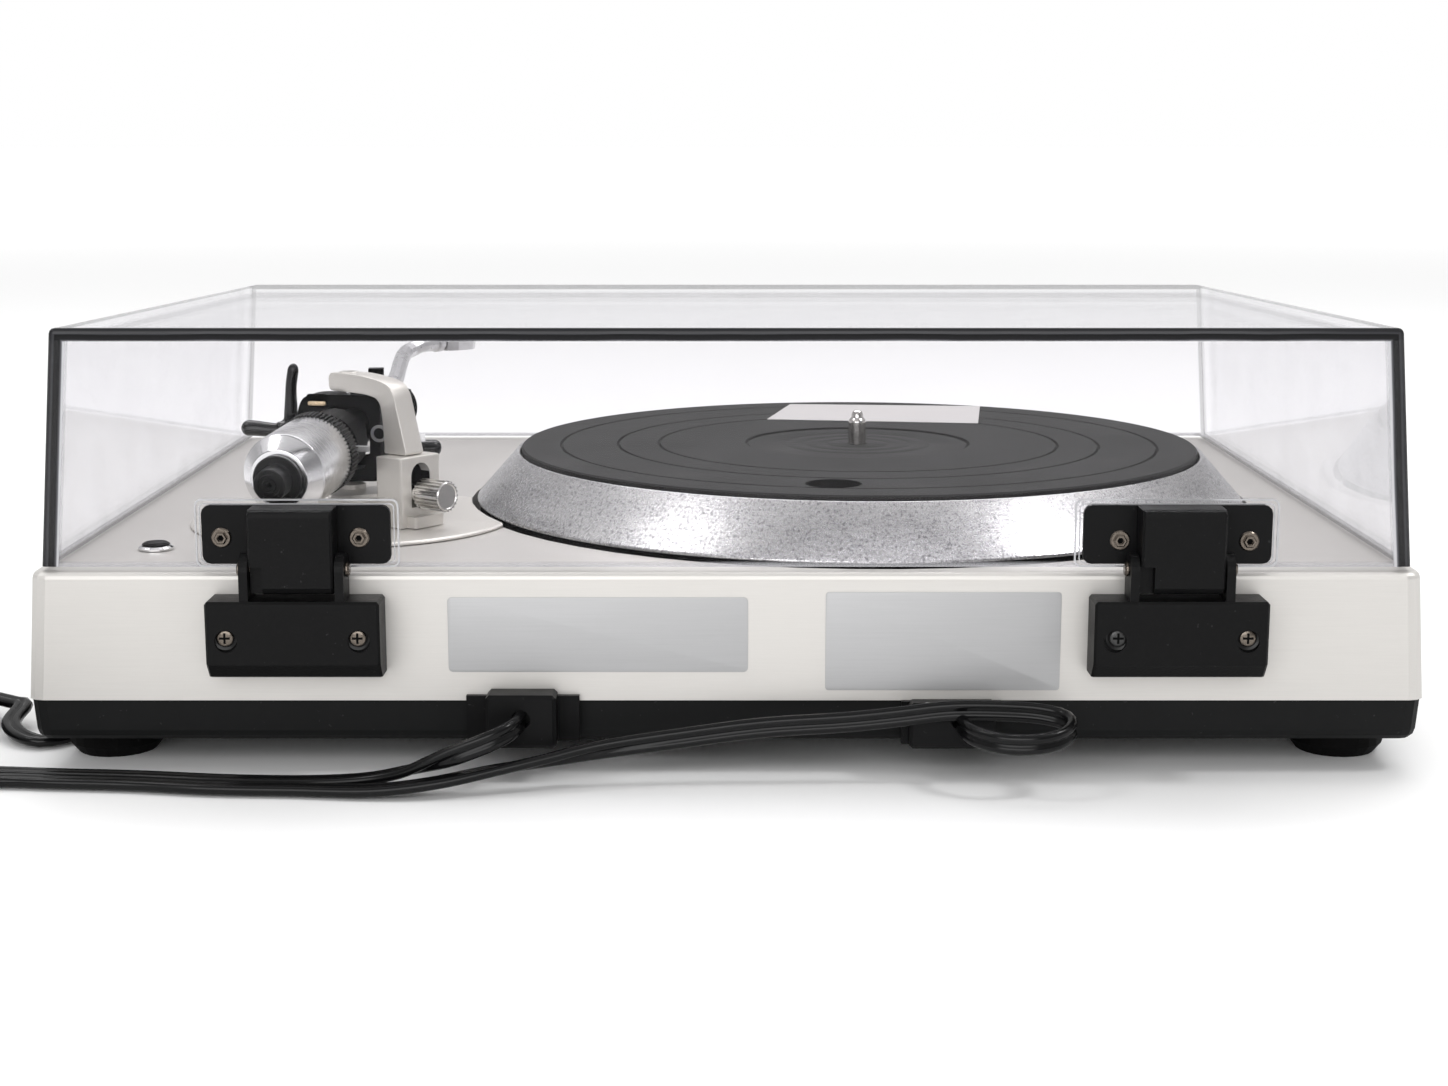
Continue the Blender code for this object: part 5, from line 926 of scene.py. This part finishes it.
plateau = lathe(
    "arm_plateau_disc",
    [(0, 0.0017), (0.0603, 0.0017), (0.0611, 0.0010), (0.0611, 0.0003), (0, 0.0003)],
    SILVER,
    offset(*at(pivot_x, pivot_depth, 0)),
    200,
    ease=0.0004,
)
well = offset(*at(pivot_x, pivot_depth, 0)).inverted() @ PLATTER.translation
platter_well = 0.1576
cut_hole(plateau, (well.x, well.y), platter_well, -0.004, 0.004)
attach(plateau, "chassis")
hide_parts("arm_plateau")


# Counterweight, dial and sleeve

dial_start = 0.0372
weight_start = 0.0445
cone_start = 0.0731
weight_bore = 0.0065
weight_profile = [
    (weight_bore, weight_start), (0.0149, weight_start), (0.0149, 0.0730), (0.0145, 0.0733),
    (0.0104, 0.0785), (weight_bore, 0.0785),
]
weight = lathe("weight_body", weight_profile, WEIGHT_METAL, ARM_BACK, 128, ring=True, ease=0.0003)
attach(weight, "weight")
weight.data.materials.append(CONE_METAL)
for face in weight.data.polygons:
    if face.center.z > cone_start:
        face.material_index = 1
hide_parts("counterweight")

dial_length = weight_start - seat - dial_start
dial_place = ARM_BACK @ offset(0, 0, dial_start + dial_length / 2)
dial = slab("force_dial_ring", ribs(0.0146, 0.0008, 60), dial_length, KNOB_BLACK, dial_place)
cut_hole(dial, (0, 0), weight_bore, -0.02, 0.02)
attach(dial, "force_dial")
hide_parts("tracking_dial")

sleeve_profile = [
    (0.0062, 0.0312), (0.0045, 0.0312), (0.0045, 0.0853), (0.0012, 0.0853), (0.0012, 0.0880),
    (0.0014, 0.0882), (0.0024, 0.0882), (0.0026, 0.0878), (0.0038, 0.0878), (0.0040, 0.0883),
    (0.0054, 0.0883), (0.0058, 0.0879), (0.0058, 0.0812), (0.0062, 0.0808), (0.0084, 0.0808),
    (0.0088, 0.0804), (0.0088, 0.0788), (0.0062, 0.0788),
]
sleeve = lathe("sleeve_knob", sleeve_profile, KNOB_BLACK, ARM_BACK, 96, ring=True)
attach(sleeve, "weight_carrier")
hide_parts("counterweight_sleeve")


# Gimbal: the housing's ring, the plate behind it in painted shade, its strip, ring and tab


def around(outline, radii, count=72, power=4.0):
    """A polygon's outline resampled by angle, and a rounded window with as many points."""
    points = [Vector(p) for p in outline]
    rays, holes = [], []
    for index in range(count):
        angle = 2 * pi * (index + 0.5) / count
        ray = Vector((cos(angle), sin(angle)))
        best = None
        for a, b in zip(points, points[1:] + points[:1]):
            edge = b - a
            cross = ray.x * edge.y - ray.y * edge.x
            if abs(cross) < 1e-12:
                continue
            t = (a.x * edge.y - a.y * edge.x) / cross
            u = (a.x * ray.y - a.y * ray.x) / cross
            if t > 0 and -1e-9 <= u <= 1 + 1e-9 and (best is None or t > best):
                best = t
        rays.append(tuple(ray * best))
        size = ((abs(ray.x) / radii[0]) ** power + (abs(ray.y) / radii[1]) ** power) ** (-1 / power)
        holes.append(tuple(ray * size))
    return rays, holes


ring_corners = [
    (-0.0136, -0.0165), (0.0136, -0.0165), (0.0190, -0.0085), (0.0190, 0.0100),
    (0.0165, 0.0155), (0.0120, 0.0163), (-0.0110, 0.0163), (-0.0136, 0.0140),
]
ring_outline = eased(ring_corners, 0.0030, 4, closed=True)


def gimbal_plate(name, radii, thickness, middle, material):
    """An upright plate of the gimbal's outline with a window in it."""
    place = SWING @ offset(*middle) @ rotation(90, "X") @ offset(0, 0, -thickness / 2)
    return frame_ring(name, *around(ring_outline, radii), thickness, material, place, "gimbal")


gimbal = gimbal_plate("gimbal_housing", (0.0094, 0.0121), 0.0120, (0, 0, -0.00215), BLACK)
gimbal_plate("gimbal_back", (0.0080, 0.0080), 0.0008, (0, -0.0056, -0.00215), PAINTED_SHADE)
for name, base, top in (("upper", 0.0130, 0.0170), ("lower", -0.0214, -0.0180)):
    post = [(0, top), (0.0020, top), (0.0024, top - 0.0004), (0.0024, base), (0, base)]
    material = CHROME if name == "upper" else BLACK
    lathe(f"gimbal_pivot_{name}", post, material, SWING, 48, body="gimbal")
strip = SWING @ offset(0.0109, 0.0061, 0.0108) @ FACE
slab("gimbal_strip", rounded(0.0072, 0.0017, 0.0007), 0.0010, BRASS, strip, 0.0003, "gimbal")
# The recess round the strip is painted shade: a thin near-black sheet
recess = SWING @ offset(0.0109, 0.00592, 0.0118) @ FACE
slab("gimbal_recess", rounded(0.0084, 0.0052, 0.0012), 0.0002, PAINTED_SHADE, recess, 0, "gimbal")
nut = SWING @ offset(-0.0133, 0.0060, -0.0002) @ upright((0, 1, 0))
nut_profile = [(0.0022, 0), (0.0033, 0), (0.0033, 0.0006), (0.0029, 0.0010), (0.0022, 0.0010)]
lathe("trunnion_nut", nut_profile, GREY_TAB, nut, 48, ring=True, body="gimbal")
lathe("trunnion_end", [(0, 0.0006), (0.0020, 0.0006), (0.0022, 0)], BLACK, nut, 32, body="gimbal")
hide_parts("gimbal_ring")
tab = ARM @ offset(-0.0136, 0.0290, -0.0002) @ FACE
slab("hub_tab", rounded(0.0064, 0.0022, 0.0003), 0.0014, GREY_TAB, tab, 0.0003, "tonearm")


# Yoke, its screw, and the height lock's knob

drop = 0.0020
bar_low, bar_high, foot = 0.0503 - drop, 0.0572 - drop, 0.0282 + seat - drop
yoke_outline = [
    (-0.0066, bar_low), (-0.0066, bar_high - 0.0014), (-0.0052, bar_high), (0.0080, bar_high),
    (0.0129, bar_high - 0.0004), (0.0204, bar_high - 0.0014), (0.0256, bar_high - 0.0030),
    (0.0282, bar_high - 0.0066), (0.0336, foot + 0.0024), (0.0342, foot), (0.0222, foot),
    (0.0226, foot + 0.0024), (0.0218, bar_low - 0.0086), (0.0208, bar_low - 0.0034),
    (0.0186, bar_low - 0.0013), (0.0129, bar_low - 0.0003),
]
smooth_yoke = eased(yoke_outline, 0.0024, 4, closed=True)
yoke_place = YOKE @ rotation(90, "X")
yoke = slab("arm_yoke_casting", smooth_yoke, 0.0092, SILVER, yoke_place, 0.0012, "chassis")
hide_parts("arm_yoke")
screw_place = YOKE @ offset(0, 0, bar_high - 0.0001)
screw_profile = [(0, 0.0005), (0.0033, 0.0005), (0.0036, 0.0002), (0.0036, 0)]
lathe("pivot_screw", screw_profile, SILVER, screw_place, 48, body="chassis")
# The screw's slot is painted shade: a thin near-black sheet on the head
slot_place = screw_place @ Matrix.Rotation(0.5, 4, "Z") @ offset(0, 0, 0.0005)
slab("pivot_slot", rounded(0.0050, 0.0008, 0.0003), 0.0001, PAINTED_SHADE, slot_place, 0, "chassis")

knob_frame = YOKE @ offset(0, 0, 0.0142 - drop) @ upright((1, 0, 0))
knob_start, knob_length = 0.0382, 0.0118
knob_place = knob_frame @ offset(0, 0, knob_start + knob_length / 2)
knob_outline = ribs(0.0050, 0.0009, 22)
knob = slab("knurled_knob", knob_outline, knob_length, KNOB_METAL, knob_place, 0, "height_knob")
face_profile = [(0, 0.0001), (0.0044, 0.0001), (0.0047, 0.00045), (0.0051, 0.00045), (0.0054, 0)]
face_place = knob_frame @ offset(0, 0, knob_start + knob_length)
lathe("knob_face", face_profile, KNOB_METAL, face_place, 72, body="height_knob")
neck_profile = [(0.0030, 0.0310), (0.0050, 0.0318), (0.0050, 0.0378), (0.0030, 0.0384)]
lathe("knob_neck", neck_profile, KNOB_METAL, knob_frame, 48, ring=True, body="height_knob")
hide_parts("height_lock_knob")

# The slot in the base with painted shade inside it (a near-black ring and floor), and the end piece
# behind the lift
slot = YOKE @ offset(0.0342, 0, 0.0175) @ upright((1, 0, 0))
slot_shade_outlines = (rounded(0.0165, 0.0101, 0.0050), rounded(0.0159, 0.0095, 0.0047))
frame_ring("slot_shade_ring", *slot_shade_outlines, 0.0044, PAINTED_SHADE, slot @ offset(0, 0, -0.0022), "chassis")
slot_shade_floor = rounded(0.0163, 0.0099, 0.0049)
slab("slot_shade_floor", slot_shade_floor, 0.0002, PAINTED_SHADE, slot @ offset(0, 0, -0.0021), 0, "chassis")
rest_spot = offset(*at(0.1180, 0.1250, 0.0252)) @ rotation(20)
slab("lift_end", rounded(0.0125, 0.0074, 0.0034), 0.0062, GLOSS, rest_spot, 0.0026, "chassis", 4)


# Levers

base_radius = 0.0268
cue_depth, cue_height = -0.0260, 0.0180
lever_base = at(pivot_x, pivot_depth, base_level)
cue_x = base_radius + 0.0055 + 0.0026 + 2 * seat
cue_origin = lever_base + Vector((cue_x, cue_depth, cue_height))
cue_route = [
    (0, 0, -0.0010), (0, 0, 0.0054), (-0.0004, 0, 0.0089), (-0.0042, 0, 0.0121),
    (-0.0072, 0, 0.0147), (-0.0078, 0, 0.0200), (-0.0082, 0, 0.0290), (-0.0096, 0, 0.0378),
]
cue_path = smooth_path([cue_origin + Vector(p) for p in cue_route], 0.0008)
cue_shapes = []
for index in range(len(cue_path)):
    share = index / (len(cue_path) - 1)
    wide = 0.0022 + 0.0006 * sin(pi * min(1, 1.35 * share))
    deep = 0.0024 - 0.0006 * share
    if share > 0.93:
        narrow = sqrt(max(0.02, 1 - ((share - 0.93) / 0.072) ** 2))
        wide *= narrow
        deep *= narrow
    cue_shapes.append(ellipse(wide, deep))
cue_sides = [Vector((1, 0, 0))] * len(cue_path)
cue = sweep("cue_lever_blade", cue_path, cue_shapes, GLOSS, "cue", cue_sides)
hub_spot = lever_base + Vector((0.0323 + seat, cue_depth, cue_height))
hub_place = offset(*hub_spot) @ upright((1, 0, 0))
hub_profile = [(0, 0.0034), (0.0040, 0.0034), (0.0045, 0.0029), (0.0045, 0)]
lathe("cue_lever_hub", hub_profile, GLOSS, hub_place, 48, body="cue")
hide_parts("cue_lever")

lock_origin = lever_base + Vector((base_radius, -0.0095, 0.0236 + seat))
lock_profile = [(0, 0.0110), (0.0030, 0.0110), (0.0036, 0.0104), (0.0036, 0)]
lathe("lock_lever_hub", lock_profile, GLOSS, offset(*lock_origin), 48, body="arm_lock")
lock_route = [(0, 0, 0.0076), (0.006, 0, 0.0080), (0.0120, 0, 0.0086), (0.0170, 0, 0.0087)]
lock_path = smooth_path([lock_origin + Vector(p) for p in lock_route], 0.0007)
lock_shapes = []
for index in range(len(lock_path)):
    share = index / (len(lock_path) - 1)
    thick = 0.0028 + 0.0008 * share
    if share > 0.8:
        thick *= sqrt(max(0.02, 1 - ((share - 0.8) / 0.205) ** 2))
    lock_shapes.append(ellipse(thick, thick * 0.9))
lock = sweep("lock_lever_handle", lock_path, lock_shapes, GLOSS, "arm_lock")
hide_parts("arm_lock_lever")


# Stage and light

floor_shape = bmesh.new()
bmesh.ops.create_grid(floor_shape, x_segments=1, y_segments=1, size=30)
ground = Shader("pale_floor", (0.90, 0.90, 0.90), 0.55, 0.0, Specular_IOR_Level=0.2)
ground.bump(ground.noise(30, 2), 0.01, 0.0002)
# The floor glows softly from 0.9 m out, so it meets the white surroundings
spot = ground.node("VectorMath", {0: ground.place}, operation="LENGTH")
glow = ground.spread(spot.outputs["Value"], 0.9, 4.0, 0.0, 0.36)
ground.set("Emission Color", (1, 1, 1, 1))
ground.set("Emission Strength", glow)
floor = finish_mesh("floor", floor_shape, ground.material, None)

scene = bpy.context.scene
scene.view_settings.view_transform = "Standard"
world = bpy.data.worlds.new("studio")
scene.world = world
world.use_nodes = True
tree = world.node_tree
coordinates = add_node(tree, "TexCoord", {}).outputs["Generated"]
direction = add_node(tree, "SeparateXYZ", {0: coordinates}).outputs


def world_ramp(source, stops):
    """Brightness of the studio by one coordinate of the direction."""
    share = add_node(tree, "MapRange", {"From Min": -1, "Value": source})
    ramp = add_node(tree, "ValToRGB", {0: share.outputs["Result"]})
    elements = ramp.color_ramp.elements
    for element, (position, value) in zip(elements, (stops[0], stops[-1])):
        element.position = position
        element.color = (value, value, value, 1)
    for position, value in stops[1:-1]:
        elements.new(position).color = (value, value, value, 1)
    return ramp.outputs[0]


# The camera sees plain white, and the surfaces see the studio
height_stops = ((0.0, 0.9), (0.52, 0.95), (0.57, 0.62), (0.70, 0.50), (0.82, 0.95), (1.0, 1.05))
depth_stops = ((0.0, 1.05), (0.45, 1.0), (0.72, 0.62), (1.0, 0.34))
ramps = {
    0: 1.0,
    6: world_ramp(direction["Z"], height_stops),
    7: world_ramp(direction["Y"], depth_stops),
}
blend = add_node(tree, "Mix", ramps, data_type="RGBA", blend_type="MULTIPLY")
studio = tree.nodes["Background"]
feed(studio.inputs[0], blend.outputs[2])
feed(studio.inputs[1], 1.0)
plain = add_node(tree, "Background", {0: (1, 1, 1, 1)})
seen = add_node(tree, "LightPath", {}).outputs["Is Camera Ray"]
choice = add_node(tree, "MixShader", {0: seen, 1: studio.outputs[0], 2: plain.outputs[0]})
feed(tree.nodes["World Output"].inputs["Surface"], choice.outputs[0])


def softbox(name, place, target, size, power):
    """An area light aimed at a point."""
    data = bpy.data.lights.new(name, "AREA")
    data.shape = "RECTANGLE"
    data.size, data.size_y = size
    data.energy = power
    lamp = bpy.data.objects.new(name, data)
    lamp.location = place
    lamp.rotation_euler = (Vector(target) - Vector(place)).to_track_quat("-Z", "Y").to_euler()
    scene.collection.objects.link(lamp)


softbox("overhead", (-0.1, -0.85, 1.7), (0, 0.0, 0), (2.2, 0.9), 20)
softbox("rim_glint_left", (1.18, 0.21, 1.8), (0.02, 0.13, 0.08), (0.36, 0.5), 3.8)
softbox("rim_glint_right", (-1.36, 0.34, 1.8), (-0.10, 0.13, 0.08), (0.30, 0.4), 9.0)
softbox("rear_fill", (0.3, 1.9, 0.75), (0, 0.1, 0.05), (2.0, 1.0), 23)
